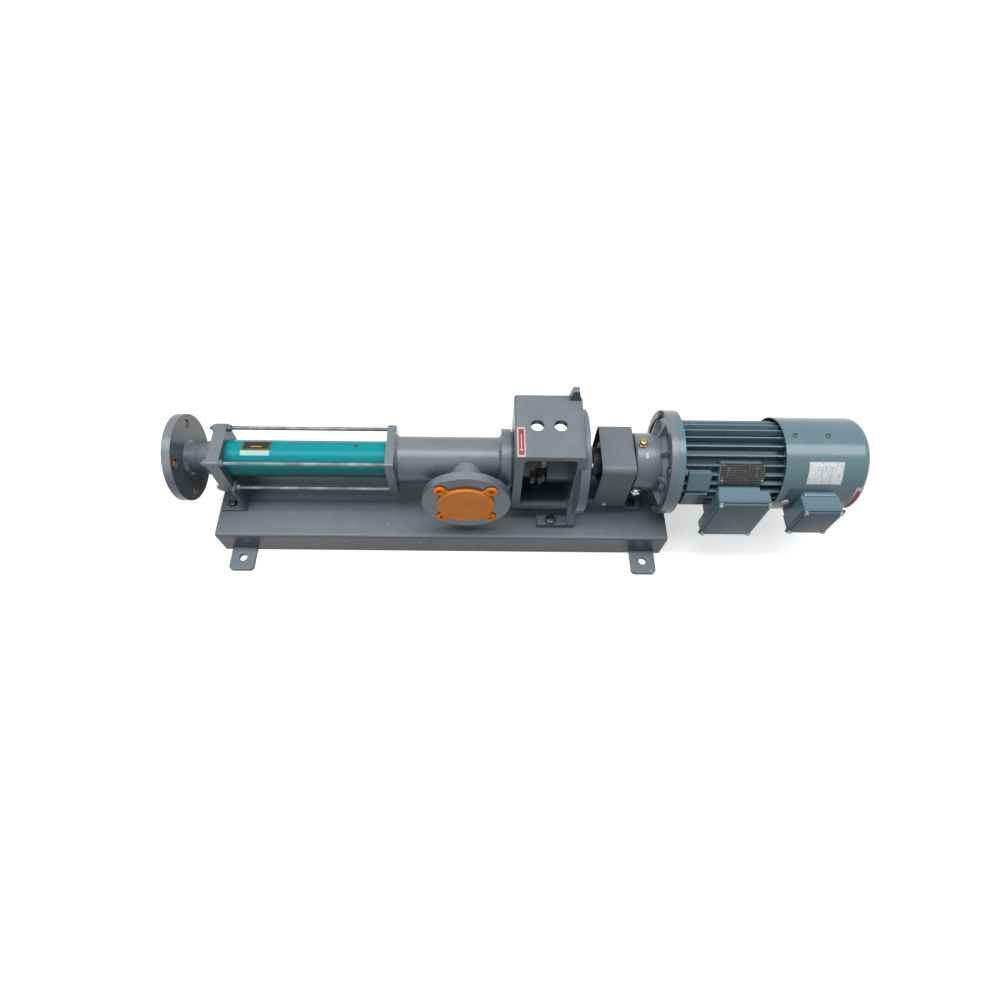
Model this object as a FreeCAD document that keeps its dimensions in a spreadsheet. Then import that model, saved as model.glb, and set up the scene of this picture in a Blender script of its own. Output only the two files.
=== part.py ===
import FreeCAD, Part
import math
import os
import Sketcher

# Progressive cavity pump on a base frame with a geared, force-cooled motor.
# X runs along the shaft towards the motor, the suction port faces -Y, Z is up.
# The origin is the centre of the four foundation holes, on the floor. Millimetres.

TOLERANCE = 1e-6
ALONG_X = FreeCAD.Vector(1, 0, 0)
ALONG_Y = FreeCAD.Vector(0, 1, 0)
ALONG_Z = FreeCAD.Vector(0, 0, 1)
DIAGONALS = (45, 135, 225, 315)
SQUARE = (0, 90, 180, 270)
TRIPOD = (90, 230, 310)

# Driving dimensions: name, value, meaning
DIMENSIONS = [
    ("axisHeight", 188.0, "pump axis over the floor"),
    ("slack", 0.3, "gap between moving or rubbing neighbours"),
    ("fitGap", 0.03, "radial gap of a seated fit"),
    ("boltGap", 0.5, "radial gap round a bolt"),
    ("baseLeft", -509.0, "left end of the base top"),
    ("baseLength", 1015.0, "length of the base top"),
    ("baseWidth", 250.0, "width of the base"),
    ("baseHeight", 68.0, "height of the base"),
    ("baseWall", 5.0, "sheet thickness of the base"),
    ("baseBend", 6.0, "outside bend radius of the base"),
    ("baseEndSlope", 3.0, "how far each end leans in at the bottom"),
    ("footSpacingX", 920.0, "foundation holes, hole to hole along X"),
    ("footSpacingY", 300.0, "foundation holes, hole to hole along Y"),
    ("footHole", 18.0, "foundation hole diameter"),
    ("footLength", 56.0, "foot tab along X"),
    ("footReach", 181.0, "outer edge of the foot tabs from the middle"),
    ("footThickness", 8.0, "foot tab thickness"),
    ("footCorner", 10.0, "foot tab corner radius"),
    ("flangeDiameter", 185.0, "port flanges"),
    ("flangeThickness", 18.0, "port flanges"),
    ("flangeCircle", 145.0, "bolt circle of the port flanges"),
    ("flangeHole", 18.0, "bolt hole diameter of the port flanges"),
    ("dischargeBore", 50.0, "bore of the discharge neck"),
    ("neckDiameter", 63.0, "discharge neck at its flange"),
    ("neckWideDiameter", 78.0, "discharge neck at the end plate"),
    ("neckLength", 61.0, "discharge neck between flange and plate"),
    ("weldBead", 6.0, "leg of the weld beads"),
    ("plateSize", 107.0, "side of the square end plates"),
    ("plateCorner", 5.0, "corner radius of the end plates"),
    ("plateLeftThickness", 26.0, "end plate at the discharge side"),
    ("plateRightThickness", 18.0, "end plate at the suction side"),
    ("statorLength", 340.0, "stator between the end plates"),
    ("statorDiameter", 78.0, "stator tube outside"),
    ("statorWall", 3.5, "stator tube wall"),
    ("statorPitch", 160.0, "pitch of the stator's double thread"),
    ("rotorDiameter", 30.0, "round section of the rotor"),
    ("eccentricity", 5.0, "rotor centre line off the rotor axis"),
    ("rodSpread", 91.0, "tie rods, centre to centre"),
    ("rodDiameter", 8.0, "tie rods"),
    ("rodEnd", 12.0, "tie rod past the left end plate"),
    ("rodNut", 7.0, "height of the tie rod nuts"),
    ("rodNutWidth", 15.0, "tie rod nuts across corners"),
    ("supportBolt", 10.0, "hold-down bolts of the discharge support and the reducer"),
    ("supportThickness", 6.0, "sheet of the discharge support"),
    ("supportWidth", 126.0, "discharge support across"),
    ("supportFoot", 56.0, "foot of the discharge support along X"),
    ("supportTop", 34.0, "top edge of the support below the axis"),
    ("casingLength", 261.0, "suction casing with plate and ring flange"),
    ("casingDiameter", 100.0, "suction casing tube outside"),
    ("casingWall", 6.0, "suction casing wall"),
    ("ringDiameter", 137.0, "ring flange of the casing"),
    ("ringThickness", 20.0, "ring flange of the casing"),
    ("throatDiameter", 60.0, "opening of the suction end plate"),
    ("suctionX", 55.0, "middle of the suction port"),
    ("suctionReach", 110.0, "suction flange face from the axis"),
    ("suctionBore", 65.0, "bore of the suction nozzle"),
    ("nozzleDiameter", 76.0, "suction nozzle outside"),
    ("drainX", -30.0, "drain plug of the casing"),
    ("drainDiameter", 18.0, "drain plug thread"),
    ("bracketX", 152.0, "left face of the bearing bracket"),
    ("bracketLength", 142.0, "bearing bracket along X"),
    ("bracketWidth", 155.0, "bearing bracket across"),
    ("bracketTop", 122.0, "top of the bracket over the axis"),
    ("bracketBottom", 70.0, "bottom of the bracket box under the axis"),
    ("bracketWall", 18.0, "left wall of the bracket"),
    ("bracketRoof", 12.0, "roof of the bracket"),
    ("bracketEndWall", 18.0, "right wall of the bracket"),
    ("bracketSill", 14.0, "floor of the bracket box"),
    ("bracketRound", 6.0, "outer edge radius of the bracket"),
    ("bracketShoulder", 14.0, "outer radius over the bracket's right wall"),
    ("windowRound", 12.0, "corner radius of the windows"),
    ("discDiameter", 224.0, "round end disc of the bracket"),
    ("discThickness", 18.0, "round end disc of the bracket"),
    ("discProud", 10.0, "disc past the bracket's right face"),
    ("bracketFootWidth", 196.0, "bracket foot across"),
    ("bracketFootLength", 82.0, "bracket foot along X"),
    ("bracketFootThickness", 14.0, "bracket foot"),
    ("bracketWebWidth", 96.0, "web between box and foot"),
    ("bracketBoltX", 242.0, "hold-down bolts of the bracket"),
    ("bracketBoltSpan", 174.0, "hold-down bolts, centre to centre"),
    ("bracketBolt", 12.0, "hold-down bolt diameter"),
    ("roofHole", 27.0, "round holes in the bracket roof"),
    ("roofHoleX", 197.0, "first roof hole"),
    ("roofHolePitch", 47.0, "roof holes, centre to centre"),
    ("hubDiameter", 92.0, "bearing hub inside the bracket"),
    ("hubLength", 51.0, "bearing hub left of the right wall"),
    ("hubLip", 8.0, "inner end wall of the bearing hub"),
    ("lugX", 276.0, "middle of the lifting lug"),
    ("lugWidth", 24.0, "lifting lug at its root"),
    ("lugTopWidth", 13.0, "lifting lug at its top"),
    ("lugHeight", 26.0, "lifting lug over the roof"),
    ("lugThickness", 14.0, "lifting lug"),
    ("boxFlange", 4.0, "stuffing box flange between casing and bracket"),
    ("boxFlangeDiameter", 124.0, "stuffing box flange"),
    ("boxSpigot", 10.0, "stuffing box spigot in the casing"),
    ("boxDiameter", 76.0, "stuffing box barrel"),
    ("boxLength", 46.0, "stuffing box barrel inside the bracket"),
    ("boxNeck", 18.0, "length of the stuffing box throat"),
    ("packingSize", 10.0, "side of the packing rings"),
    ("packingCount", 4.0, "packing rings"),
    ("glandSpan", 88.0, "gland studs, centre to centre"),
    ("glandFlange", 8.0, "gland flange thickness"),
    ("glandLug", 12.0, "radius of the gland's ears"),
    ("glandNose", 10.0, "gland nose length"),
    ("glandStud", 8.0, "gland stud diameter"),
    ("shaftDiameter", 35.0, "drive shaft in packing and bearings"),
    ("shaftEndDiameter", 30.0, "drive shaft in the coupling"),
    ("headDiameter", 52.0, "joint head of the drive shaft"),
    ("headLength", 42.0, "joint head of the drive shaft"),
    ("headLeft", 58.0, "left face of the drive shaft's joint head"),
    ("headPocket", 34.0, "pocket of both joint heads, diameter"),
    ("headPocketDepth", 32.0, "pocket of both joint heads"),
    ("rotorHeadDiameter", 44.0, "joint head of the rotor"),
    ("rotorHeadLength", 42.0, "joint head of the rotor"),
    ("rotorRunOut", 14.0, "rotor thread past the stator"),
    ("rodBodyDiameter", 20.0, "coupling rod"),
    ("rodKnobDiameter", 27.0, "round ends of the coupling rod"),
    ("pinDiameter", 10.0, "joint pins"),
    ("pinEyeGap", 1.2, "radial gap of a pin in the rod's eye"),
    ("sleeveWall", 2.5, "rubber joint sleeves"),
    ("sleeveGrip", 12.0, "sleeve on the joint head"),
    ("sleeveLength", 30.0, "sleeve from head face to rod"),
    ("bearingDiameter", 72.0, "bearing outside"),
    ("bearingWidth", 17.0, "bearing width"),
    ("bearingRing", 4.6, "thickness of the bearing rings"),
    ("rollerCount", 12.0, "rollers in each bearing"),
    ("shoulderDiameter", 42.0, "drive shaft between the bearings"),
    ("coverDiameter", 104.0, "bearing cover"),
    ("coverThickness", 12.0, "bearing cover"),
    ("coverSpigot", 4.0, "bearing cover spigot in the hub"),
    ("coverCircle", 88.0, "bolt circle of the bearing cover"),
    ("sealDiameter", 50.0, "lip seal outside"),
    ("sealWidth", 7.0, "lip seal width"),
    ("hubOneX", 324.0, "left face of the pump coupling hub"),
    ("couplingHubLength", 30.0, "each coupling hub"),
    ("couplingDiameter", 84.0, "coupling hubs and spider"),
    ("spiderWidth", 12.0, "coupling spider between the hubs"),
    ("guardX", 335.0, "left edge of the coupling guard"),
    ("guardLength", 70.0, "coupling guard along X"),
    ("guardWidth", 124.0, "coupling guard across"),
    ("guardTop", 52.5, "guard top over the axis"),
    ("guardBottom", 81.0, "guard's lower edge under the axis"),
    ("guardBend", 15.0, "outside bend radius of the guard"),
    ("guardWall", 2.0, "guard sheet"),
    ("guardBracketSheet", 4.0, "guard brackets"),
    ("guardBracketHeight", 15.0, "guard brackets, height of the strip"),
    ("guardBracketReach", 26.0, "guard brackets inward over the end disc"),
    ("reducerX", 407.0, "left face of the reducer"),
    ("reducerLength", 41.0, "reducer housing to the adapter"),
    ("reducerDiameter", 124.0, "reducer housing"),
    ("reducerWall", 8.0, "reducer housing wall"),
    ("reducerEdge", 3.0, "chamfer of the reducer's left edge"),
    ("reducerFootWidth", 106.0, "reducer foot across"),
    ("reducerFootThickness", 12.0, "reducer foot"),
    ("reducerWebWidth", 44.0, "column between reducer and foot, across"),
    ("reducerBoltSpan", 76.0, "reducer foot bolts, centre to centre"),
    ("reducerShaftDiameter", 30.0, "reducer output shaft"),
    ("plugThread", 12.0, "breather and level plug threads"),
    ("breatherOffset", 13.0, "breather from the reducer's left face"),
    ("levelOffset", 10.0, "level plug from the reducer's left face"),
    ("levelDrop", 18.0, "level plug under the axis"),
    ("adapterX", 465.0, "left face of the adapter disc"),
    ("adapterDiameter", 221.0, "adapter and motor flange"),
    ("adapterThickness", 14.0, "adapter disc"),
    ("adapterRibCount", 8.0, "ribs of the adapter"),
    ("adapterRib", 7.0, "thickness of the adapter ribs"),
    ("adapterRecess", 5.0, "depth of the adapter's ring recess"),
    ("adapterRim", 15.0, "width of the adapter's outer rim"),
    ("adapterCircle", 202.0, "bolt circle of adapter and motor flange"),
    ("flangeBolt", 8.0, "bolts through adapter and motor flange"),
    ("motorFlange", 14.0, "motor flange thickness"),
    ("frameX", 500.0, "left end of the motor's fins"),
    ("frameLength", 205.0, "length of the motor's fins"),
    ("frameDiameter", 150.0, "motor frame between the fins"),
    ("finDiameter", 180.0, "motor frame over the fins"),
    ("finCount", 28.0, "fins"),
    ("finRoot", 4.8, "fin thickness at the root"),
    ("finTip", 3.0, "fin thickness at the tip"),
    ("statorCoreDiameter", 130.0, "motor stator core"),
    ("rotorCoreDiameter", 82.0, "motor rotor core"),
    ("airGap", 0.5, "gap between motor rotor and stator"),
    ("coreLength", 120.0, "motor cores"),
    ("coreX", 540.0, "left end of the motor cores"),
    ("motorShaftDiameter", 24.0, "motor shaft"),
    ("rearShieldLength", 26.0, "rear motor shield past the fins"),
    ("rearLug", 18.0, "width of the rear shield's lugs"),
    ("cowlScrew", 5.0, "cowl screw thread"),
    ("cowlX", 699.0, "left edge of the fan cowl"),
    ("cowlLength", 175.0, "fan cowl"),
    ("cowlStep", 8.0, "fan cowl outside over the fins"),
    ("cowlWall", 2.0, "fan cowl sheet"),
    ("cowlRound", 16.0, "rounded end of the fan cowl"),
    ("fanX", 748.0, "left face of the cooling fan"),
    ("fanLength", 22.0, "cooling fan hub"),
    ("fanDiameter", 168.0, "cooling fan"),
    ("fanBladeCount", 7.0, "fan blades"),
    ("fanMotorX", 776.0, "left face of the fan's own motor"),
    ("fanMotorLength", 52.0, "fan's own motor"),
    ("fanMotorDiameter", 82.0, "fan's own motor"),
    ("boxX", 560.0, "left side of the main terminal box"),
    ("boxWidthX", 113.0, "main terminal box along X"),
    ("boxHeightZ", 132.0, "main terminal box height"),
    ("boxBack", 103.0, "back of the main terminal box from the axis"),
    ("boxFront", 136.0, "lid face of the main terminal box"),
    ("boxLid", 9.0, "lid of the main terminal box"),
    ("boxCentreZ", -16.0, "main terminal box centre over the axis"),
    ("fanBoxX", 738.0, "left side of the fan terminal box"),
    ("fanBoxWidthX", 86.0, "fan terminal box along X"),
    ("fanBoxHeightZ", 92.0, "fan terminal box height"),
    ("fanBoxCentreZ", -14.0, "fan terminal box centre over the axis"),
    ("fanBoxBack", 100.0, "back of the fan terminal box"),
    ("fanBoxFront", 142.0, "lid face of the fan terminal box"),
    ("fanBoxLid", 8.0, "lid of the fan terminal box"),
    ("boxWall", 3.0, "terminal box wall"),
    ("boxCorner", 4.0, "corner radius of terminal boxes and lids"),
    ("lidOverhang", 3.0, "lid past the terminal box's walls"),
    ("platePadWidth", 44.0, "nameplate pad on the motor frame"),
    ("bossX", 507.0, "left end of the raised pad on the motor frame"),
    ("bossLength", 46.0, "raised pad on the motor frame"),
    ("bossWidth", 40.0, "raised pad across"),
    ("bossReach", 94.0, "face of the raised pad from the shaft"),
    ("capDiameter", 118.0, "port cap disc"),
    ("capThickness", 4.0, "port cap disc"),
    ("capRim", 3.0, "raised rim of the port cap"),
    ("capRimWidth", 6.0, "rim width of the port cap"),
    ("capEar", 30.0, "ear diameter of the port cap"),
    ("capEarHole", 17.4, "ear hole of the port cap"),
]


# A size carries its number and the formula on the sheet that gives it.
class Size:
    def __init__(self, formula, number):
        self.formula = formula
        self.number = number

    def __add__(self, other):
        other = as_size(other)
        return Size(f"({self.formula} + {other.formula})", self.number + other.number)

    def __sub__(self, other):
        other = as_size(other)
        return Size(f"({self.formula} - {other.formula})", self.number - other.number)

    def __mul__(self, other):
        other = as_size(other)
        return Size(f"({self.formula} * {other.formula})", self.number * other.number)

    def __truediv__(self, other):
        other = as_size(other)
        return Size(f"({self.formula} / {other.formula})", self.number / other.number)

    def __neg__(self):
        return Size(f"(0 - {self.formula})", -self.number)

    def __radd__(self, other):
        return as_size(other) + self

    def __rsub__(self, other):
        return as_size(other) - self

    def __rmul__(self, other):
        return as_size(other) * self


def as_size(value):
    if isinstance(value, Size):
        return value
    return Size(f"{value:.9f}", float(value))


doc = FreeCAD.newDocument("ProgressiveCavityPump")
sheet = doc.addObject("Spreadsheet::Sheet", "dims")


class Sizes:
    pass


def fill_sheet():
    named = Sizes()
    for row, (name, value, meaning) in enumerate(DIMENSIONS, start=1):
        sheet.set(f"A{row}", meaning)
        sheet.set(f"B{row}", str(value))
        sheet.setAlias(f"B{row}", name)
        setattr(named, name, Size(f"dims.{name}", value))
    doc.recompute()
    return named


s = fill_sheet()


# Small helpers: binding, placing, primitives, booleans
def bind(item, prop, size):
    item.setExpression(prop, as_size(size).formula)


def place(item, x, y, z, axis=ALONG_Z, angle=0.0):
    x, y, z = as_size(x), as_size(y), as_size(z)
    base = FreeCAD.Vector(x.number, y.number, z.number)
    item.Placement = FreeCAD.Placement(base, FreeCAD.Rotation(axis, angle))
    for letter, size in zip("xyz", (x, y, z)):
        item.setExpression(f"Placement.Base.{letter}", size.formula)
    return item


def block(name, xs, ys, zs):
    item = doc.addObject("Part::Box", name)
    for prop, (low, high) in zip(("Length", "Width", "Height"), (xs, ys, zs)):
        bind(item, prop, high - low)
    return place(item, xs[0], ys[0], zs[0])


# A cylinder from a start to an end along X, Y or Z, with its other two coordinates
def cylinder(name, along, radius, start, end, first, second):
    item = doc.addObject("Part::Cylinder", name)
    bind(item, "Radius", radius)
    bind(item, "Height", end - start)
    if along == "x":
        return place(item, start, first, second, ALONG_Y, 90)
    if along == "y":
        return place(item, first, start, second, ALONG_X, -90)
    return place(item, first, second, start)


def hexagon(name, along, corner_radius, start, end, first, second):
    item = doc.addObject("Part::Prism", name)
    item.Polygon = 6
    bind(item, "Circumradius", corner_radius)
    bind(item, "Height", end - start)
    if along == "x":
        return place(item, start, first, second, ALONG_Y, 90)
    if along == "y":
        return place(item, first, start, second, ALONG_X, -90)
    return place(item, first, second, start)


# A cylinder that points away from the shaft at one angle
def spoke(name, radius, start, end, x, angle):
    item = doc.addObject("Part::Cylinder", name)
    bind(item, "Radius", radius)
    bind(item, "Height", end - start)
    turn = math.radians(angle)
    return place(item, x, start * math.cos(turn), axis + start * math.sin(turn), ALONG_X, angle - 90)


# A block that points away from the shaft at one angle: along X, outwards and across
def arm(name, xs, start, end, width, angle):
    item = doc.addObject("Part::Box", name)
    bind(item, "Length", xs[1] - xs[0])
    bind(item, "Width", end - start)
    bind(item, "Height", width)
    turn = math.radians(angle)
    y = start * math.cos(turn) + width / 2 * math.sin(turn)
    z = start * math.sin(turn) - width / 2 * math.cos(turn)
    return place(item, xs[0], y, axis + z, ALONG_X, angle)


def fuse(name, *items):
    item = doc.addObject("Part::MultiFuse", name)
    item.Shapes = list(items)
    item.Refine = True
    return item


def cut(name, base, *tools):
    tool = tools[0]
    if len(tools) > 1:
        tool = doc.addObject("Part::MultiFuse", name + "_cuts")
        tool.Shapes = list(tools)
    item = doc.addObject("Part::Cut", name)
    item.Base = base
    item.Tool = tool
    item.Refine = True
    return item


def several(name, *items):
    item = doc.addObject("Part::Compound", name)
    item.Links = list(items)
    return item


# Rounds the edges of a solid that run along one direction and pass a test
def rounded(name, base, along, radius, keep=lambda point: True):
    doc.recompute()
    edges = []
    for number, edge in enumerate(base.Shape.Edges, start=1):
        if len(edge.Vertexes) != 2:
            continue
        run = edge.Vertexes[1].Point - edge.Vertexes[0].Point
        if run.cross(along).Length < TOLERANCE * max(run.Length, 1) and keep(edge.CenterOfMass):
            edges.append((number, radius.number, radius.number))
    item = doc.addObject("Part::Fillet", name)
    item.Base = base
    item.Edges = edges
    return item


# Part Design helpers: sketches whose every point is driven by the sheet
def new_body(name):
    return doc.addObject("PartDesign::Body", name)


def origin_feature(body, role):
    for feature in body.Origin.OriginFeatures:
        if feature.Role == role:
            return feature
    raise ValueError(role)


def new_sketch(body, name, role):
    sketch = body.newObject("Sketcher::SketchObject", name)
    sketch.AttachmentSupport = [(origin_feature(body, role), "")]
    sketch.MapMode = "FlatFace"
    return sketch


def fix_point(sketch, geometry, vertex, across, up):
    for kind, size in (("DistanceX", across), ("DistanceY", up)):
        number = sketch.addConstraint(
            Sketcher.Constraint(kind, -1, 1, geometry, vertex, size.number))
        sketch.setExpression(f"Constraints[{number}]", size.formula)


def polygon(sketch, points):
    points = [(as_size(across), as_size(up)) for across, up in points]
    corners = [FreeCAD.Vector(across.number, up.number, 0) for across, up in points]
    first = sketch.GeometryCount
    count = len(points)
    for number in range(count):
        sketch.addGeometry(Part.LineSegment(corners[number], corners[(number + 1) % count]))
    for number in range(count):
        following = (number + 1) % count
        sketch.addConstraint(
            Sketcher.Constraint("Coincident", first + number, 2, first + following, 1))
    for number, (across, up) in enumerate(points):
        fix_point(sketch, first + number, 1, across, up)


def circle(sketch, across, up, radius):
    across, up, radius = as_size(across), as_size(up), as_size(radius)
    centre = FreeCAD.Vector(across.number, up.number, 0)
    geometry = sketch.addGeometry(Part.Circle(centre, FreeCAD.Vector(0, 0, 1), radius.number))
    fix_point(sketch, geometry, 3, across, up)
    number = sketch.addConstraint(Sketcher.Constraint("Radius", geometry, radius.number))
    sketch.setExpression(f"Constraints[{number}]", radius.formula)


# A turned piece: the outline's points are (along the axis, radius)
def turned(name, outline):
    body = new_body(name)
    sketch = new_sketch(body, name + "_outline", "XZ_Plane")
    polygon(sketch, outline)
    turn = body.newObject("PartDesign::Revolution", name + "_turn")
    turn.Profile = sketch
    turn.ReferenceAxis = (sketch, ["H_Axis"])
    turn.Angle = 360
    return place(body, 0, 0, s.axisHeight)


# Holes through a turned piece, on a circle round its axis
def hole_circle(body, name, circle_diameter, hole_diameter, count, first_angle, reach):
    doc.recompute()
    sketch = new_sketch(body, name + "_hole", "YZ_Plane")
    turn = math.radians(first_angle)
    circle(sketch, circle_diameter / 2 * math.cos(turn), circle_diameter / 2 * math.sin(turn),
           hole_diameter / 2)
    pocket = body.newObject("PartDesign::Pocket", name + "_drilling")
    pocket.Profile = sketch
    pocket.SideType = "Symmetric"
    bind(pocket, "Length", reach * 2)
    around(body, name + "_circle", pocket, as_size(count))
    return body


def around(body, name, feature, count):
    pattern = body.newObject("PartDesign::PolarPattern", name)
    pattern.Originals = [feature]
    pattern.Axis = (origin_feature(body, "X_Axis"), [""])
    pattern.Angle = 360
    bind(pattern, "Occurrences", count)
    body.Tip = pattern
    return pattern


# A prism: an outline on one of the body's planes, padded evenly to both sides
def padded(name, role, outline, thickness, x=0, y=0, z=0, axis=ALONG_Z, angle=0.0):
    body = new_body(name)
    sketch = new_sketch(body, name + "_outline", role)
    polygon(sketch, outline)
    pad = body.newObject("PartDesign::Pad", name + "_pad")
    pad.Profile = sketch
    pad.SideType = "Symmetric"
    bind(pad, "Length", thickness)
    return place(body, x, y, z, axis, angle)


# Places worked out from the driving dimensions
axis = s.axisHeight
plateRightX = s.bracketX - s.boxFlange - s.casingLength
statorRightX = plateRightX
statorLeftX = statorRightX - s.statorLength
plateLeftX = statorLeftX - s.plateLeftThickness
neckX = plateLeftX - s.neckLength
flangeX = neckX - s.flangeThickness
ringRightX = s.bracketX - s.boxFlange
ringLeftX = ringRightX - s.ringThickness
casingBore = s.casingDiameter / 2 - s.casingWall
bracketRightX = s.bracketX + s.bracketLength
discRightX = bracketRightX + s.discProud
discLeftX = discRightX - s.discThickness
windowLeftX = s.bracketX + s.bracketWall
windowRightX = bracketRightX - s.bracketEndWall
hubLeftX = windowRightX - s.hubLength
bearingOneX = hubLeftX + s.hubLip
bearingTwoX = discRightX - s.coverSpigot - s.bearingWidth
baseTop = s.baseHeight
shaftRadius = s.shaftDiameter / 2
packingBore = shaftRadius + s.packingSize
boxRightX = s.bracketX + s.boxLength
packingX = s.bracketX - s.boxFlange - s.boxSpigot + s.boxNeck
spiderX = s.hubOneX + s.couplingHubLength
hubTwoX = spiderX + s.spiderWidth
motorFlangeX = s.adapterX + s.adapterThickness
shieldX = motorFlangeX + s.motorFlange
frameRightX = s.frameX + s.frameLength
cowlRightX = s.cowlX + s.cowlLength
cowlDiameter = s.finDiameter + s.cowlStep * 2
headRightX = s.headLeft + s.headLength
rotorThreadRightX = statorRightX + s.rotorRunOut
rotorHeadRightX = rotorThreadRightX + s.rotorHeadLength
drivePinX = s.headLeft + s.headPocketDepth / 2
rotorPinX = rotorHeadRightX - s.headPocketDepth / 2
rodHalf = s.rodSpread / 2


def hex_bolt(name, along, side, seat, first, second, diameter, length):
    # side is the way the shank points from its head's seat
    head = diameter * 0.65
    corner = diameter * 0.95
    if side > 0:
        top = hexagon(name + "_head", along, corner, seat - head, seat, first, second)
        shank = cylinder(name + "_shank", along, diameter / 2, seat, seat + length, first, second)
    else:
        top = hexagon(name + "_head", along, corner, seat, seat + head, first, second)
        shank = cylinder(name + "_shank", along, diameter / 2, seat - length, seat, first, second)
    return fuse(name, top, shank)


def hex_nut(name, along, start, end, first, second, diameter, corner):
    outside = hexagon(name + "_hex", along, corner, start, end, first, second)
    bore = cylinder(name + "_bore", along, diameter / 2 + s.fitGap, start, end, first, second)
    return cut(name, outside, bore)


def on_circle(diameter, angle):
    turn = math.radians(angle)
    return diameter / 2 * math.cos(turn), axis + diameter / 2 * math.sin(turn)


def make_base_channel():
    right = s.baseLeft + s.baseLength
    body = new_body("base_channel_form")
    sketch = new_sketch(body, "base_channel_outline", "XZ_Plane")
    polygon(sketch, [(s.baseLeft + s.baseEndSlope, 0), (right - s.baseEndSlope, 0),
                     (right, baseTop), (s.baseLeft, baseTop)])
    pad = body.newObject("PartDesign::Pad", "base_channel_pad")
    pad.Profile = sketch
    pad.SideType = "Symmetric"
    bind(pad, "Length", s.baseWidth)
    doc.recompute()
    inner = new_sketch(body, "base_channel_inside", "XZ_Plane")
    polygon(inner, [(s.baseLeft + s.baseEndSlope + s.baseWall, -s.baseWall),
                    (right - s.baseEndSlope - s.baseWall, -s.baseWall),
                    (right - s.baseWall, baseTop - s.baseWall),
                    (s.baseLeft + s.baseWall, baseTop - s.baseWall)])
    pocket = body.newObject("PartDesign::Pocket", "base_channel_hollow")
    pocket.Profile = inner
    pocket.SideType = "Symmetric"
    bind(pocket, "Length", s.baseWidth - s.baseWall * 2)
    top = baseTop.number
    bent = rounded("base_channel_bent", body, ALONG_X, s.baseBend,
                   lambda point: abs(point.z - top) < TOLERANCE)
    holes = []
    for number, (x, y, radius) in enumerate(base_bolts()):
        holes.append(cylinder(f"base_hole_{number}", "z", radius + s.boltGap,
                              baseTop - s.baseWall * 2, baseTop + s.baseWall, x, y))
    return cut("base_channel", bent, *holes)


def support_bolt_places():
    x = statorLeftX - s.supportFoot / 2
    return [(x, side * s.supportWidth * 0.36, s.supportBolt / 2) for side in (-1, 1)]


def bracket_bolt_places():
    return [(s.bracketBoltX, side * s.bracketBoltSpan / 2, s.bracketBolt / 2) for side in (-1, 1)]


def reducer_bolt_places():
    x = s.reducerX + s.reducerLength / 2
    return [(x, side * s.reducerBoltSpan / 2, s.supportBolt / 2) for side in (-1, 1)]


def base_bolts():
    return support_bolt_places() + bracket_bolt_places() + reducer_bolt_places()


def make_foot_tabs():
    tabs = []
    for corner, (sx, sy) in enumerate([(-1, -1), (1, -1), (-1, 1), (1, 1)]):
        x = sx * s.footSpacingX / 2
        half = s.footLength / 2
        inner = s.baseWidth / 2
        ys = (inner, s.footReach) if sy > 0 else (-s.footReach, -inner)
        plate = block(f"foot_plate_{corner}", (x - half, x + half), ys, (as_size(0), s.footThickness))
        edge = s.footReach.number
        soft = rounded(f"foot_soft_{corner}", plate, ALONG_Z, s.footCorner,
                       lambda point: abs(abs(point.y) - edge) < TOLERANCE)
        hole = cylinder(f"foot_hole_{corner}", "z", s.footHole / 2, -s.footThickness,
                        s.footThickness * 2, x, sy * s.footSpacingY / 2)
        tabs.append(cut(f"foot_tab_{corner}", soft, hole))
    return several("foot_tabs", *tabs)


def square_plate(name, left, right):
    half = s.plateSize / 2
    plate = block(name + "_block", (left, right), (-half, half), (axis - half, axis + half))
    return rounded(name, plate, ALONG_X, s.plateCorner)


def rod_places():
    return [(sy * rodHalf, axis + sz * rodHalf) for sy in (-1, 1) for sz in (-1, 1)]


def rod_holes(name, left, right, radius):
    return [cylinder(f"{name}_{number}", "x", radius, left - s.slack, right + s.slack, y, z)
            for number, (y, z) in enumerate(rod_places())]


def make_discharge_body():
    bore = s.dischargeBore / 2
    neck = s.neckDiameter / 2
    wide = s.neckWideDiameter / 2
    outline = [(flangeX, bore), (flangeX, s.flangeDiameter / 2), (neckX, s.flangeDiameter / 2),
               (neckX, neck + s.weldBead), (neckX + s.weldBead, neck),
               (neckX + s.neckLength / 3, neck), (plateLeftX - s.weldBead, wide),
               (plateLeftX + s.weldBead, wide), (plateLeftX + s.weldBead, bore)]
    pipe = turned("discharge_pipe", outline)
    hole_circle(pipe, "discharge_flange", s.flangeCircle, s.flangeHole, 4, 45,
                s.weldBead - flangeX)
    plate = square_plate("discharge_plate", plateLeftX, statorLeftX)
    joined = fuse("discharge_joined", pipe, plate)
    passage = cylinder("discharge_passage", "x", bore, plateLeftX - s.weldBead,
                       statorLeftX + s.slack, 0, axis)
    holes = rod_holes("discharge_rod_hole", plateLeftX, statorLeftX, s.rodDiameter / 2 + s.boltGap)
    return cut("discharge_body", joined, passage, *holes)


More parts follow.
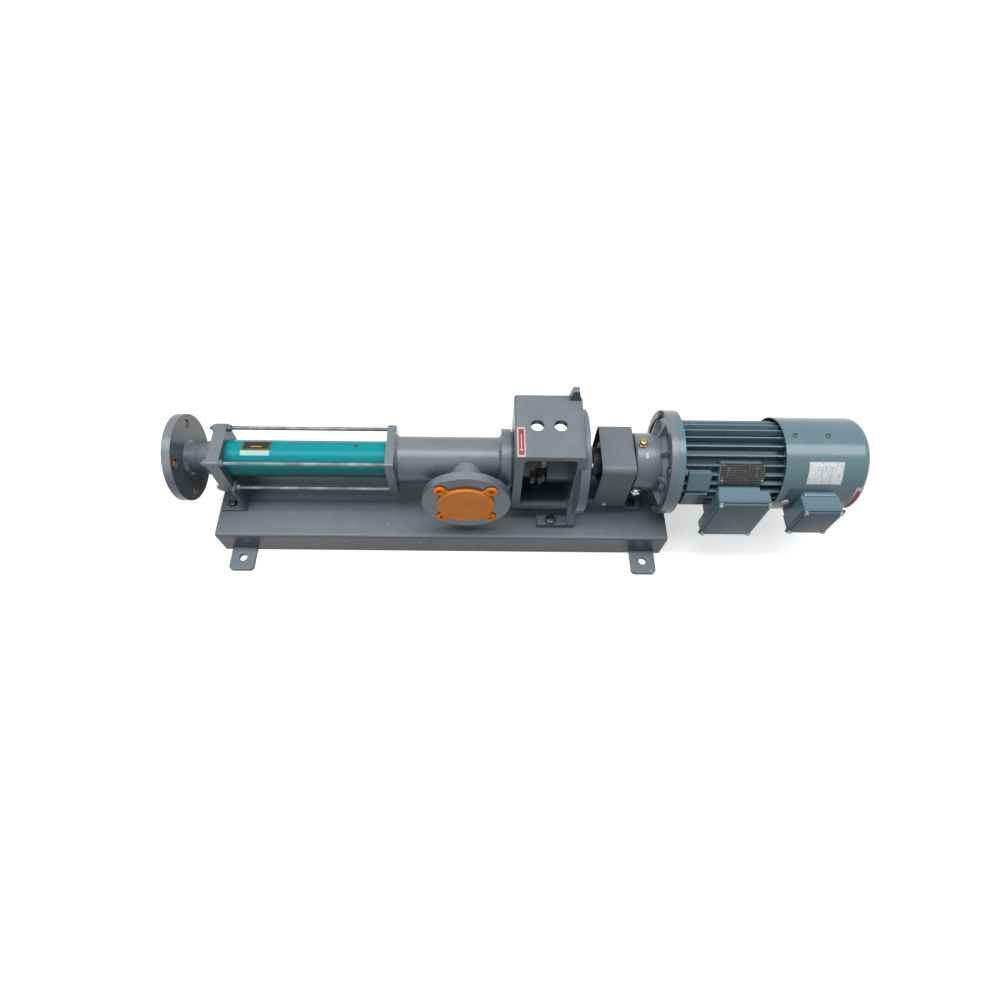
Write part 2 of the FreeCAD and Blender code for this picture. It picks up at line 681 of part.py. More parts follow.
def make_discharge_support():
    half = s.supportWidth / 2
    right = statorLeftX + s.supportThickness
    left = right - s.supportFoot
    upright = block("support_upright", (statorLeftX, right), (-half, half),
                    (baseTop, axis - s.supportTop))
    foot = block("support_foot", (left, right), (-half, half),
                 (baseTop, baseTop + s.supportThickness))
    angle = fuse("support_angle", upright, foot)
    notch = cylinder("support_notch", "x", s.statorDiameter / 2 + s.boltGap * 2,
                     statorLeftX - s.slack, right + s.slack, 0, axis)
    holes = [cylinder(f"support_rod_hole_{number}", "x", s.rodDiameter / 2 + s.boltGap,
                      statorLeftX - s.slack, right + s.slack, sy * rodHalf, axis - rodHalf)
             for number, sy in enumerate((-1, 1))]
    for number, (x, y, radius) in enumerate(support_bolt_places()):
        holes.append(cylinder(f"support_foot_hole_{number}", "z", radius + s.boltGap,
                              baseTop - s.slack, baseTop + s.supportThickness + s.slack, x, y))
    return cut("discharge_support", angle, notch, *holes)


def make_base_bolts():
    bolts = []
    plates = [s.supportThickness] * 2 + [s.bracketFootThickness] * 2 + [s.reducerFootThickness] * 2
    for number, ((x, y, radius), plate) in enumerate(zip(base_bolts(), plates)):
        bolts.append(hex_bolt(f"base_bolt_{number}", "z", -1, baseTop + plate, x, y, radius * 2,
                              plate + s.baseWall * 3))
    return several("base_bolts", *bolts)


def make_tie_rods():
    rods = []
    for number, (y, z) in enumerate(rod_places()):
        rods.append(cylinder(f"tie_rod_{number}", "x", s.rodDiameter / 2, plateLeftX - s.rodEnd,
                             statorRightX + s.plateRightThickness, y, z))
    return several("tie_rods", *rods)


def make_tie_rod_nuts():
    nuts = []
    corner = s.rodNutWidth / 2
    for number, (y, z) in enumerate(rod_places()):
        nuts.append(hex_nut(f"outer_nut_{number}", "x", plateLeftX - s.rodNut, plateLeftX, y, z,
                            s.rodDiameter, corner))
    for number, (y, z) in enumerate(rod_places()):
        seat = statorLeftX if z.number > axis.number else statorLeftX + s.supportThickness
        nuts.append(hex_nut(f"inner_nut_{number}", "x", seat, seat + s.rodNut, y, z,
                            s.rodDiameter, corner))
    return several("tie_rod_nuts", *nuts)


def make_stator_tube():
    outside = s.statorDiameter / 2
    inside = outside - s.statorWall
    return turned("stator_tube", [(statorLeftX, inside), (statorLeftX, outside),
                                  (statorRightX, outside), (statorRightX, inside)])


# The screw surfaces: a section carried along X while it turns with the pitch
def twisted(section, left, right, pitch):
    spine = Part.Wire([Part.makeLine(FreeCAD.Vector(left, 0, 0), FreeCAD.Vector(right, 0, 0))])
    guide = Part.makeHelix(pitch, right - left, 1.0)
    guide.rotate(FreeCAD.Vector(0, 0, 0), ALONG_Y, 90)
    guide.translate(FreeCAD.Vector(left, 0, 0))
    sweep = Part.BRepOffsetAPI.MakePipeShell(spine)
    sweep.setAuxiliarySpine(Part.Wire(guide.Edges), True, 0)
    sweep.add(section)
    sweep.build()
    sweep.makeSolid()
    return sweep.shape()


def round_section(x, centre_z, radius):
    edge = Part.makeCircle(radius, FreeCAD.Vector(x, 0, centre_z), ALONG_X)
    return Part.Wire([edge])


def slot_section(x, half_length, radius):
    # A stadium standing along Z: two half circles joined by straight sides
    top = FreeCAD.Vector(x, 0, half_length)
    low = FreeCAD.Vector(x, 0, -half_length)
    side = FreeCAD.Vector(0, radius, 0)
    up = FreeCAD.Vector(0, 0, radius)
    return Part.Wire([
        Part.makeLine(low - side, top - side),
        Part.Arc(top - side, top + up, top + side).toShape(),
        Part.makeLine(top + side, low + side),
        Part.Arc(low + side, low - up, low - side).toShape()])


def shape_node(name, shape, x=0.0, y=0.0, z=0.0):
    item = doc.addObject("Part::Feature", name)
    turned_shape = shape.Placement
    item.Shape = shape
    item.Placement = FreeCAD.Placement(FreeCAD.Vector(x, y, z), FreeCAD.Rotation()) * turned_shape
    return item


def make_stator_lining():
    radius = s.statorDiameter.number / 2 - s.statorWall.number
    left = statorLeftX.number
    right = statorRightX.number
    rubber = Part.makeCylinder(radius, right - left, FreeCAD.Vector(left, 0, 0), ALONG_X)
    cavity = twisted(slot_section(left, 2 * s.eccentricity.number,
                                  s.rotorDiameter.number / 2 + s.slack.number),
                     left, right, s.statorPitch.number)
    return shape_node("stator_lining", rubber.cut(cavity), 0, 0, axis.number)


def make_rotor():
    left = statorLeftX.number
    right = rotorThreadRightX.number
    radius = s.rotorDiameter.number / 2
    thread = twisted(round_section(left, s.eccentricity.number, radius), left, right,
                     s.statorPitch.number / 2)
    head_radius = s.rotorHeadDiameter.number / 2
    head = Part.makeCylinder(head_radius, s.rotorHeadLength.number,
                             FreeCAD.Vector(right, 0, 0), ALONG_X)
    end = rotorHeadRightX.number
    depth = s.headPocketDepth.number
    pocket = Part.makeCylinder(s.headPocket.number / 2, depth + s.slack.number,
                               FreeCAD.Vector(end - depth, 0, 0), ALONG_X)
    pin_hole = Part.makeCylinder(s.pinDiameter.number / 2 + s.fitGap.number, 4 * head_radius,
                                 FreeCAD.Vector(rotorPinX.number, -2 * head_radius, 0), ALONG_Y)
    shape = thread.fuse(head).cut(pocket).cut(pin_hole).removeSplitter()
    return shape_node("rotor", shape, 0, 0, axis.number + s.eccentricity.number)


def make_rotor_pin():
    half = s.rotorHeadDiameter / 2 - s.slack * 4
    return cylinder("rotor_pin", "y", s.pinDiameter / 2, -half, half, rotorPinX,
                    axis + s.eccentricity)


def make_drive_pin():
    half = s.headDiameter / 2 - s.slack * 4
    return cylinder("drive_pin", "y", s.pinDiameter / 2, -half, half, drivePinX, axis)


# The coupling rod leans from the drive pin on the axis to the rotor pin above it
def rod_direction():
    low = FreeCAD.Vector(drivePinX.number, 0, axis.number)
    high = FreeCAD.Vector(rotorPinX.number, 0, axis.number + s.eccentricity.number)
    return low, high


def make_coupling_rod():
    start, end = rod_direction()
    along = end - start
    length = along.Length
    along.normalize()
    knob = s.rodKnobDiameter.number / 2
    neck = knob * 0.8
    bar = Part.makeCylinder(s.rodBodyDiameter.number / 2, length, start, along)
    shape = bar
    for centre in (start, end):
        barrel = Part.makeCylinder(knob, 2 * neck, centre - along * neck, along)
        shape = shape.fuse(barrel)
    for centre in (start, end):
        eye = Part.makeCylinder(s.pinDiameter.number / 2 + s.pinEyeGap.number, 4 * knob,
                                centre - ALONG_Y * 2 * knob, ALONG_Y)
        shape = shape.cut(eye)
    return shape_node("coupling_rod", shape.removeSplitter())


def sleeve(head_face, away, head_radius, offset_at):
    # A hollow of two lofts: round the joint head first, then closing in on the rod
    wall = s.sleeveWall.number
    gap = s.slack.number
    grip = s.sleeveGrip.number
    reach = s.sleeveLength.number
    rod = s.rodBodyDiameter.number / 2
    shells = []
    for extra in (wall, 0.0):
        stations = [(-grip, head_radius + gap + extra, 0.0),
                    (gap * 3, head_radius + gap + extra, 0.0),
                    (reach * 0.75, rod + gap * 3 + extra, 0.75),
                    (reach, rod + gap * 3 + extra, 1.0)]
        wires = []
        for distance, radius, share in stations:
            x = head_face + away * distance
            centre = FreeCAD.Vector(x, 0, offset_at(x if share > 0 else None))
            wires.append(Part.Wire([Part.makeCircle(radius, centre, ALONG_X)]))
        shells.append(Part.makeLoft(wires, True, True))
    return shells[0].cut(shells[1])


def make_joint_sleeves():
    start, end = rod_direction()

    def rod_height(x):
        share = (x - start.x) / (end.x - start.x)
        return start.z + share * (end.z - start.z)

    rotor_side = sleeve(rotorHeadRightX.number, 1, s.rotorHeadDiameter.number / 2,
                        lambda x: end.z if x is None else rod_height(x))
    drive_side = sleeve(s.headLeft.number, -1, s.headDiameter.number / 2,
                        lambda x: start.z if x is None else rod_height(x))
    return shape_node("joint_sleeves", Part.makeCompound([rotor_side, drive_side]))


def make_suction_casing():
    plate = square_plate("suction_plate", plateRightX, plateRightX + s.plateRightThickness)
    plateFace = plateRightX + s.plateRightThickness
    outside = s.casingDiameter / 2
    shell = turned("suction_tube", [
        (plateFace - s.slack, 0), (plateFace - s.slack, outside + s.weldBead),
        (plateFace, outside + s.weldBead), (plateFace + s.weldBead, outside),
        (ringLeftX - s.weldBead, outside), (ringLeftX, outside + s.weldBead),
        (ringLeftX, s.ringDiameter / 2), (ringRightX, s.ringDiameter / 2), (ringRightX, 0)])
    nozzle = turned("suction_nozzle", [
        (0, 0), (0, s.nozzleDiameter / 2),
        (s.suctionReach - s.flangeThickness - s.weldBead, s.nozzleDiameter / 2),
        (s.suctionReach - s.flangeThickness, s.nozzleDiameter / 2 + s.weldBead),
        (s.suctionReach - s.flangeThickness, s.flangeDiameter / 2),
        (s.suctionReach, s.flangeDiameter / 2), (s.suctionReach, 0)])
    place(nozzle, s.suctionX, 0, axis, ALONG_Z, -90)
    boss = cylinder("drain_boss", "z", s.drainDiameter / 2 + s.weldBead,
                    axis - outside - s.weldBead, axis - casingBore, s.drainX, 0)
    joined = fuse("suction_joined", plate, shell, nozzle, boss)
    throat = cylinder("suction_throat", "x", s.throatDiameter / 2, plateRightX - s.slack,
                      plateFace + s.slack, 0, axis)
    bore = cylinder("suction_bore", "x", casingBore, plateFace, ringRightX + s.slack, 0, axis)
    inlet = cylinder("suction_inlet", "y", s.suctionBore / 2, -s.suctionReach - s.slack, 0 * axis,
                     s.suctionX, axis)
    drain = cylinder("suction_drain", "z", s.drainDiameter / 2 + s.fitGap,
                     axis - outside - s.weldBead * 2, axis - outside / 2, s.drainX, 0)
    cuts = [throat, bore, inlet, drain]
    cuts += rod_holes("suction_rod_hole", plateRightX, plateFace, s.rodDiameter / 2 + s.fitGap)
    for number, angle in enumerate(DIAGONALS):
        dx, z = on_circle(s.flangeCircle, angle)
        cuts.append(cylinder(f"suction_flange_hole_{number}", "y", s.flangeHole / 2,
                             -s.suctionReach - s.slack,
                             -s.suctionReach + s.flangeThickness + s.slack, s.suctionX + dx, z))
    for number, (y, z) in enumerate(box_screw_places()):
        cuts.append(cylinder(f"suction_screw_hole_{number}", "x", boxScrew / 2 + s.fitGap,
                             ringRightX - boxScrewGrip, ringRightX + s.slack, y, z))
    return cut("suction_casing", joined, *cuts)


def make_drain_plug():
    low = axis - s.casingDiameter / 2 - s.weldBead
    head = hexagon("drain_head", "z", s.drainDiameter * 0.62, low - s.weldBead, low, s.drainX, 0)
    shank = cylinder("drain_shank", "z", s.drainDiameter / 2, low, low + s.weldBead * 2,
                     s.drainX, 0)
    return fuse("drain_plug", head, shank)


boxScrew = s.glandStud
boxScrewGrip = s.ringThickness * 0.7
boxScrewCircle = (s.boxDiameter + s.boxFlangeDiameter) / 2 + s.boltGap * 4


def box_screw_places():
    return [on_circle(boxScrewCircle, angle) for angle in DIAGONALS]


def make_stuffing_box():
    spigotX = ringRightX - s.boxSpigot
    throat = shaftRadius + s.slack
    outline = [(spigotX, throat), (spigotX, casingBore - s.fitGap),
               (ringRightX, casingBore - s.fitGap), (ringRightX, s.boxFlangeDiameter / 2),
               (s.bracketX, s.boxFlangeDiameter / 2), (s.bracketX, s.boxDiameter / 2),
               (boxRightX, s.boxDiameter / 2), (boxRightX, packingBore),
               (packingX, packingBore), (packingX, throat)]
    barrel = turned("stuffing_barrel", outline)
    ears = oval("stuffing_ears", boxRightX - s.glandFlange, boxRightX)
    joined = fuse("stuffing_joined", barrel, ears)
    bore = cylinder("stuffing_bore", "x", packingBore, packingX, boxRightX + s.slack, 0, axis)
    studs = stud_holes("stuffing_stud_hole", boxRightX - s.glandFlange, boxRightX, s.fitGap)
    screws = [cylinder(f"stuffing_screw_hole_{number}", "x", boxScrew / 2 + s.boltGap,
                       ringRightX - s.slack, s.bracketX + s.slack, y, z)
              for number, (y, z) in enumerate(box_screw_places())]
    return cut("stuffing_box", joined, bore, *(studs + screws))


# An oval two-ear flange standing across Y
def oval(name, left, right):
    half = s.glandSpan / 2
    bar = block(name + "_bar", (left, right), (-half, half), (axis - s.glandLug, axis + s.glandLug))
    ends = [cylinder(f"{name}_end_{number}", "x", s.glandLug, left, right, sy * half, axis)
            for number, sy in enumerate((-1, 1))]
    middle = cylinder(name + "_middle", "x", packingBore + s.glandNose / 4, left, right, 0, axis)
    return fuse(name, bar, middle, *ends)


def stud_holes(name, left, right, gap):
    return [cylinder(f"{name}_{number}", "x", s.glandStud / 2 + gap, left - s.slack,
                     right + s.slack, sy * s.glandSpan / 2, axis)
            for number, sy in enumerate((-1, 1))]


def make_packing_rings():
    rings = []
    pitch = s.packingSize
    for number in range(int(s.packingCount.number)):
        left = packingX + s.fitGap + pitch * number
        rings.append(turned(f"packing_ring_{number}", [
            (left, shaftRadius + s.slack), (left, packingBore - s.fitGap),
            (left + pitch - s.fitGap, packingBore - s.fitGap),
            (left + pitch - s.fitGap, shaftRadius + s.slack)]))
    return several("packing_rings", *rings)


packingEndX = packingX + s.packingSize * s.packingCount
glandX = packingEndX + s.glandNose


def make_gland():
    nose = turned("gland_nose", [
        (packingEndX + s.fitGap, shaftRadius + s.slack),
        (packingEndX + s.fitGap, packingBore - s.fitGap),
        (glandX, packingBore - s.fitGap), (glandX + s.glandFlange, packingBore - s.fitGap),
        (glandX + s.glandFlange, shaftRadius + s.slack)])
    flange = oval("gland_flange", glandX, glandX + s.glandFlange)
    joined = fuse("gland_joined", nose, flange)
    bore = cylinder("gland_bore", "x", shaftRadius + s.slack, glandX - s.slack,
                    glandX + s.glandFlange + s.slack, 0, axis)
    return cut("gland", joined, bore,
               *stud_holes("gland_stud_hole", glandX, glandX + s.glandFlange, s.boltGap))


def make_gland_studs():
    right = glandX + s.glandFlange
    studs = []
    for number, sy in enumerate((-1, 1)):
        y = sy * s.glandSpan / 2
        studs.append(cylinder(f"gland_stud_{number}", "x", s.glandStud / 2,
                              boxRightX - s.glandFlange, right + s.glandStud, y, axis))
        studs.append(hex_nut(f"gland_nut_{number}", "x", right, right + s.glandStud * 0.8, y, axis,
                             s.glandStud, s.glandStud * 0.92))
    return several("gland_studs", *studs)


def make_box_screws():
    seat = windowLeftX
    screws = [hex_bolt(f"box_screw_{number}", "x", -1, seat, y, z, boxScrew,
                       s.bracketWall + s.boxFlange + boxScrewGrip * 0.8)
              for number, (y, z) in enumerate(box_screw_places())]
    return several("box_screws", *screws)


def make_bearing_bracket():
    half = s.bracketWidth / 2
    bottom = axis - s.bracketBottom
    top = axis + s.bracketTop
    right = bracketRightX
    shell = block("bracket_block", (s.bracketX, right), (-half, half), (bottom, top))
    middle = (s.bracketX + s.bracketLength / 2).number
    left_soft = rounded("bracket_left_soft", shell, ALONG_Y, s.bracketRound,
                        lambda point: point.x < middle)
    soft = rounded("bracket_soft", left_soft, ALONG_Y, s.bracketShoulder,
                   lambda point: point.x > middle and point.z > axis.number)
    window = block("bracket_window_block", (windowLeftX, windowRightX), (-half * 2, half * 2),
                   (bottom + s.bracketSill, top - s.bracketRoof))
    opening = rounded("bracket_window", window, ALONG_Y, s.windowRound)
    frame = cut("bracket_frame", soft, opening)
    disc = cylinder("bracket_disc", "x", s.discDiameter / 2, discLeftX, discRightX, 0, axis)
    hub = cylinder("bracket_hub", "x", s.hubDiameter / 2, hubLeftX, discRightX, 0, axis)
    footHalf = s.bracketFootWidth / 2
    foot = block("bracket_foot", (right - s.bracketFootLength, right), (-footHalf, footHalf),
                 (baseTop, baseTop + s.bracketFootThickness))
    wall = padded("bracket_leg", "YZ_Plane", [
        (-footHalf, baseTop), (footHalf, baseTop), (footHalf, baseTop + s.bracketFootThickness),
        (half, bottom + s.bracketSill), (-half, bottom + s.bracketSill),
        (-footHalf, baseTop + s.bracketFootThickness)], s.bracketEndWall,
        right - s.bracketEndWall / 2)
    web = block("bracket_web", (right - s.bracketFootLength, right),
                (-s.bracketWebWidth / 2, s.bracketWebWidth / 2), (baseTop, bottom + s.bracketSill / 2))
    lug = padded("bracket_lug", "XZ_Plane", [
        (s.lugX - s.lugWidth / 2, top - s.bracketRound), (s.lugX + s.lugWidth / 2, top - s.bracketRound),
        (s.lugX + s.lugWidth / 2, top), (s.lugX + s.lugTopWidth / 2, top + s.lugHeight),
        (s.lugX - s.lugTopWidth / 2, top + s.lugHeight), (s.lugX - s.lugWidth / 2, top)],
        s.lugThickness, 0, half - s.lugThickness / 2)
    joined = fuse("bracket_joined", frame, disc, hub, foot, wall, web, lug)
    cuts = [cylinder("bracket_box_bore", "x", s.boxDiameter / 2 + s.fitGap, s.bracketX - s.slack,
                     windowLeftX + s.windowRound, 0, axis),
            cylinder("bracket_bearing_bore", "x", s.bearingDiameter / 2 + s.fitGap, bearingOneX,
                     discRightX + s.slack, 0, axis),
            cylinder("bracket_lip_bore", "x", s.shoulderDiameter / 2, hubLeftX - s.slack,
                     bearingOneX + s.slack, 0, axis)]
    for number in range(2):
        cuts.append(cylinder(f"bracket_roof_hole_{number}", "z", s.roofHole / 2,
                             top - s.bracketRoof - s.slack, top + s.slack,
                             s.roofHoleX + s.roofHolePitch * number, 0))
    for number, (x, y, radius) in enumerate(bracket_bolt_places()):
        cuts.append(cylinder(f"bracket_foot_hole_{number}", "z", radius + s.boltGap,
                             baseTop - s.slack, baseTop + s.bracketFootThickness * 3, x, y))
    for number, (y, z) in enumerate(box_screw_places()):
        cuts.append(cylinder(f"bracket_screw_hole_{number}", "x", boxScrew / 2 + s.boltGap,
                             s.bracketX - s.slack, windowLeftX + s.slack, y, z))
        cuts.append(cylinder(f"bracket_screw_seat_{number}", "x", boxScrew + s.slack * 4,
                             windowLeftX, windowLeftX + s.windowRound, y, z))
    for number, (y, z) in enumerate(cover_screw_places()):
        cuts.append(cylinder(f"bracket_cover_hole_{number}", "x", coverScrew / 2 + s.fitGap,
                             discRightX - coverScrewGrip, discRightX + s.slack, y, z))
    for number, (y, z) in enumerate(guard_tab_places()):
        cuts.append(cylinder(f"bracket_guard_hole_{number}", "x", guardThread / 2 + s.fitGap,
                             discRightX - guardGrip, discRightX + s.slack, y, z))
    return cut("bearing_bracket", joined, *cuts)


coverScrew = s.glandStud * 0.75
coverScrewGrip = s.coverThickness


def cover_screw_places():
    return [on_circle(s.coverCircle, 45 + 90 * number) for number in range(4)]


def bearing_rings(name, inner, outer):
    rings = []
    for number, left in enumerate((bearingOneX, bearingTwoX)):
        right = left + s.bearingWidth
        rings.append(turned(f"{name}_{number}", [
            (left, inner), (left, outer), (right, outer), (right, inner)]))
    return several(name, *rings)


raceOuter = s.bearingDiameter / 2 - s.bearingRing
raceInner = shaftRadius + s.bearingRing


def make_bearing_outer_rings():
    return bearing_rings("bearing_outer_rings", raceOuter, s.bearingDiameter / 2)


def make_bearing_inner_rings():
    return bearing_rings("bearing_inner_rings", shaftRadius + s.fitGap, raceInner)


def make_bearing_rollers():
    rollers = []
    radius = (raceOuter - raceInner) / 2 - s.fitGap * 2
    middle = raceOuter + raceInner
    count = int(s.rollerCount.number)
    for left in (bearingOneX, bearingTwoX):
        for number in range(count):
            y, z = on_circle(middle, 360 / count * number)
            rollers.append(cylinder(f"roller_{len(rollers)}", "x", radius,
                                    left + s.fitGap * 50, left + s.bearingWidth - s.fitGap * 50, y, z))
    return several("bearing_rollers", *rollers)


def make_bearing_spacer():
    outer = s.bearingDiameter / 2
    left = bearingOneX + s.bearingWidth
    return turned("bearing_spacer", [
        (left, raceOuter), (left, outer), (bearingTwoX, outer), (bearingTwoX, raceOuter)])


def make_bearing_cover():
    hole = s.shaftEndDiameter / 2 + s.slack * 3
    left = discRightX - s.coverSpigot
    right = discRightX + s.coverThickness
    seat = right - s.sealWidth
    cover = turned("bearing_cover_form", [
        (left, raceOuter), (left, s.bearingDiameter / 2), (discRightX, s.bearingDiameter / 2),
        (discRightX, s.coverDiameter / 2), (right, s.coverDiameter / 2),
        (right, s.sealDiameter / 2 + s.fitGap), (seat, s.sealDiameter / 2 + s.fitGap),
        (seat, hole), (discRightX, hole), (discRightX, raceOuter)])
    screws = [cylinder(f"cover_hole_{number}", "x", coverScrew / 2 + s.boltGap,
                       discRightX - s.slack, right + s.slack, y, z)
              for number, (y, z) in enumerate(cover_screw_places())]
    return cut("bearing_cover", cover, *screws)


def make_cover_screws():
    right = discRightX + s.coverThickness
    screws = [hex_bolt(f"cover_screw_{number}", "x", -1, right, y, z, coverScrew,
                       s.coverThickness + coverScrewGrip * 0.8)
              for number, (y, z) in enumerate(cover_screw_places())]
    return several("cover_screws", *screws)


def make_lip_seal():
    right = discRightX + s.coverThickness
    left = right - s.sealWidth
    inner = s.shaftEndDiameter / 2 + s.slack
    return turned("lip_seal", [(left, inner), (left, s.sealDiameter / 2),
                               (right, s.sealDiameter / 2), (right, inner)])


def make_grease_nipple():
    x = discRightX + s.coverThickness / 2
    low = axis + s.coverDiameter / 2
    stem = cylinder("nipple_stem", "z", s.glandStud / 2, low, low + s.glandStud * 0.6, x, 0)
    waist = cylinder("nipple_waist", "z", s.glandStud / 4, low + s.glandStud * 0.6,
                     low + s.glandStud, x, 0)
    tip = cylinder("nipple_tip", "z", s.glandStud * 0.36, low + s.glandStud,
                   low + s.glandStud * 1.3, x, 0)
    return fuse("grease_nipple", stem, waist, tip)


def make_drive_shaft():
    end = s.shaftEndDiameter / 2
    head = s.headDiameter / 2
    shoulder = s.shoulderDiameter / 2
    shoulderLeft = bearingOneX + s.bearingWidth
    shaft = turned("drive_shaft_form", [
        (s.headLeft, 0), (s.headLeft, head), (headRightX, head), (headRightX, shaftRadius),
        (shoulderLeft, shaftRadius), (shoulderLeft, shoulder - s.slack * 3),
        (bearingTwoX, shoulder - s.slack * 3), (bearingTwoX, shaftRadius),
        (bearingTwoX + s.bearingWidth, shaftRadius), (bearingTwoX + s.bearingWidth, end),
        (spiderX - s.slack, end), (spiderX - s.slack, 0)])
    pocket = cylinder("drive_pocket", "x", s.headPocket / 2, s.headLeft - s.slack,
                      s.headLeft + s.headPocketDepth, 0, axis)
    pin = cylinder("drive_pin_hole", "y", s.pinDiameter / 2 + s.fitGap, -head * 2, head * 2,
                   drivePinX, axis)
    return cut("drive_shaft", shaft, pocket, pin)


# A coupling half: a hub with three jaws that reach between the spider's arms
def coupling_half(name, left, right, side, bore, first_angle):
    outer = s.couplingDiameter / 2
    hub = turned(name + "_hub", [
        (left, bore + s.fitGap), (left, outer * 0.72 if side > 0 else outer),
        ((left + right) / 2, outer * 0.72 if side > 0 else outer),
        ((left + right) / 2, outer if side > 0 else outer * 0.72),
        (right, outer if side > 0 else outer * 0.72), (right, bore + s.fitGap)])
    face = right if side > 0 else left
    tip = face + (s.spiderWidth - s.slack * 2) * side
    low, high = (face - s.slack, tip) if side > 0 else (tip, face + s.slack)
    jaws = [sector(f"{name}_jaw_{number}", low, high, outer / 2, outer, jawHalfAngle,
                   first_angle + 120 * number) for number in range(3)]
    return fuse(name, hub, *jaws)


jawHalfAngle = 20
armHalfAngle = 9


# A wedge of a ring across the shaft, from one radius to another
def sector(name, left, right, inner, outer, half_angle, turn):
    body = new_body(name)
    sketch = new_sketch(body, name + "_outline", "YZ_Plane")
    across = math.cos(math.radians(half_angle))
    up = math.sin(math.radians(half_angle))
    polygon(sketch, [(inner * across, -inner * up), (outer * across, -outer * up), (outer, 0),
                     (outer * across, outer * up), (inner * across, inner * up)])
    pad = body.newObject("PartDesign::Pad", name + "_pad")
    pad.Profile = sketch
    bind(pad, "Length", right - left)
    return place(body, left, 0, axis, ALONG_X, turn)


def make_pump_coupling_hub():
    return coupling_half("pump_coupling_hub", s.hubOneX, spiderX, 1, s.shaftEndDiameter / 2, 0)


def make_reducer_coupling_hub():
    return coupling_half("reducer_coupling_hub", hubTwoX, hubTwoX + s.couplingHubLength, -1,
                         s.reducerShaftDiameter / 2, 60)


def make_coupling_spider():
    outer = s.couplingDiameter / 2
    left = spiderX + s.slack
    right = hubTwoX - s.slack
    ring = cylinder("spider_ring", "x", outer * 0.42, left, right, 0, axis)
    bore = cylinder("spider_bore", "x", outer * 0.2, left - s.slack, right + s.slack, 0, axis)
    arms = [sector(f"spider_arm_{number}", left, right, outer / 3, outer, armHalfAngle,
                   30 + 60 * number) for number in range(6)]
    joined = fuse("spider_joined", ring, *arms)
    return cut("coupling_spider", joined, bore)


def make_coupling_guard():
    half = s.guardWidth / 2
    top = axis + s.guardTop
    low = axis - s.guardBottom
    right = s.guardX + s.guardLength
    outside = block("guard_block", (s.guardX, right), (-half, half), (low, top))
    bent = rounded("guard_outside", outside, ALONG_X, s.guardBend,
                   lambda point: abs(point.z - top.number) < TOLERANCE)
    inside = block("guard_inside_block", (s.guardX - s.slack, right + s.slack),
                   (-half + s.guardWall, half - s.guardWall), (low - s.slack, top - s.guardWall))
    hollow = rounded("guard_inside", inside, ALONG_X, s.guardBend - s.guardWall,
                     lambda point: abs(point.z - top.number + s.guardWall.number) < TOLERANCE)
    screws = [cylinder(f"guard_hole_{number}", "y", s.glandStud / 2,
                       *((-half * 1.2, -half * 0.8) if sy < 0 else (half * 0.8, half * 1.2)),
                       guardMiddleX, guardScrewZ)
              for number, sy in enumerate((-1, 1))]
    return cut("coupling_guard", bent, hollow, *screws)


guardMiddleX = s.guardX + s.guardLength / 3
guardScrewZ = axis - s.guardBottom + s.glandStud
guardThread = s.glandStud * 0.7
guardGrip = s.discThickness / 2


def guard_tab_places():
    reach = s.guardWidth / 2 - s.guardWall - s.guardBracketReach / 2
    return [(side * reach, guardScrewZ) for side in (-1, 1)]


def make_guard_brackets():
    outer = s.guardWidth / 2 - s.guardWall
    inner = outer - s.guardBracketSheet
    toe = outer - s.guardBracketReach
    right = guardMiddleX + s.guardBracketHeight / 2
    zs = (guardScrewZ - s.guardBracketHeight / 2, guardScrewZ + s.guardBracketHeight / 2)
    angles = []
    for number, (tabY, tabZ) in enumerate(guard_tab_places()):
        front = tabY.number < 0
        ys = (-outer, -inner) if front else (inner, outer)
        tabYs = (-outer, -toe) if front else (toe, outer)
        strip = block(f"guard_strip_{number}", (discRightX, right), ys, zs)
        tab = block(f"guard_tab_{number}", (discRightX, discRightX + s.guardBracketSheet), tabYs, zs)
        angle = fuse(f"guard_angle_{number}", strip, tab)
        holes = [cylinder(f"guard_strip_hole_{number}", "y", guardThread / 2 + s.fitGap,
                          ys[0] - s.slack, ys[1] + s.slack, guardMiddleX, guardScrewZ),
                 cylinder(f"guard_tab_hole_{number}", "x", guardThread / 2 + s.fitGap,
                          discRightX - s.slack, discRightX + s.guardBracketSheet + s.slack,
                          tabY, tabZ)]
        angles.append(cut(f"guard_bracket_{number}", angle, *holes))
    return several("guard_brackets", *angles)


def make_guard_screws():
    half = s.guardWidth / 2
    length = s.guardWall + s.guardBracketSheet * 1.5
    screws = [hex_bolt("guard_screw_0", "y", 1, -half, guardMiddleX, guardScrewZ, guardThread, length),
              hex_bolt("guard_screw_1", "y", -1, half, guardMiddleX, guardScrewZ, guardThread, length)]
    for number, (y, z) in enumerate(guard_tab_places()):
        screws.append(hex_bolt(f"guard_tab_screw_{number}", "x", -1,
                               discRightX + s.guardBracketSheet, y, z, guardThread,
                               s.guardBracketSheet + guardGrip * 0.8))
    return several("guard_screws", *screws)


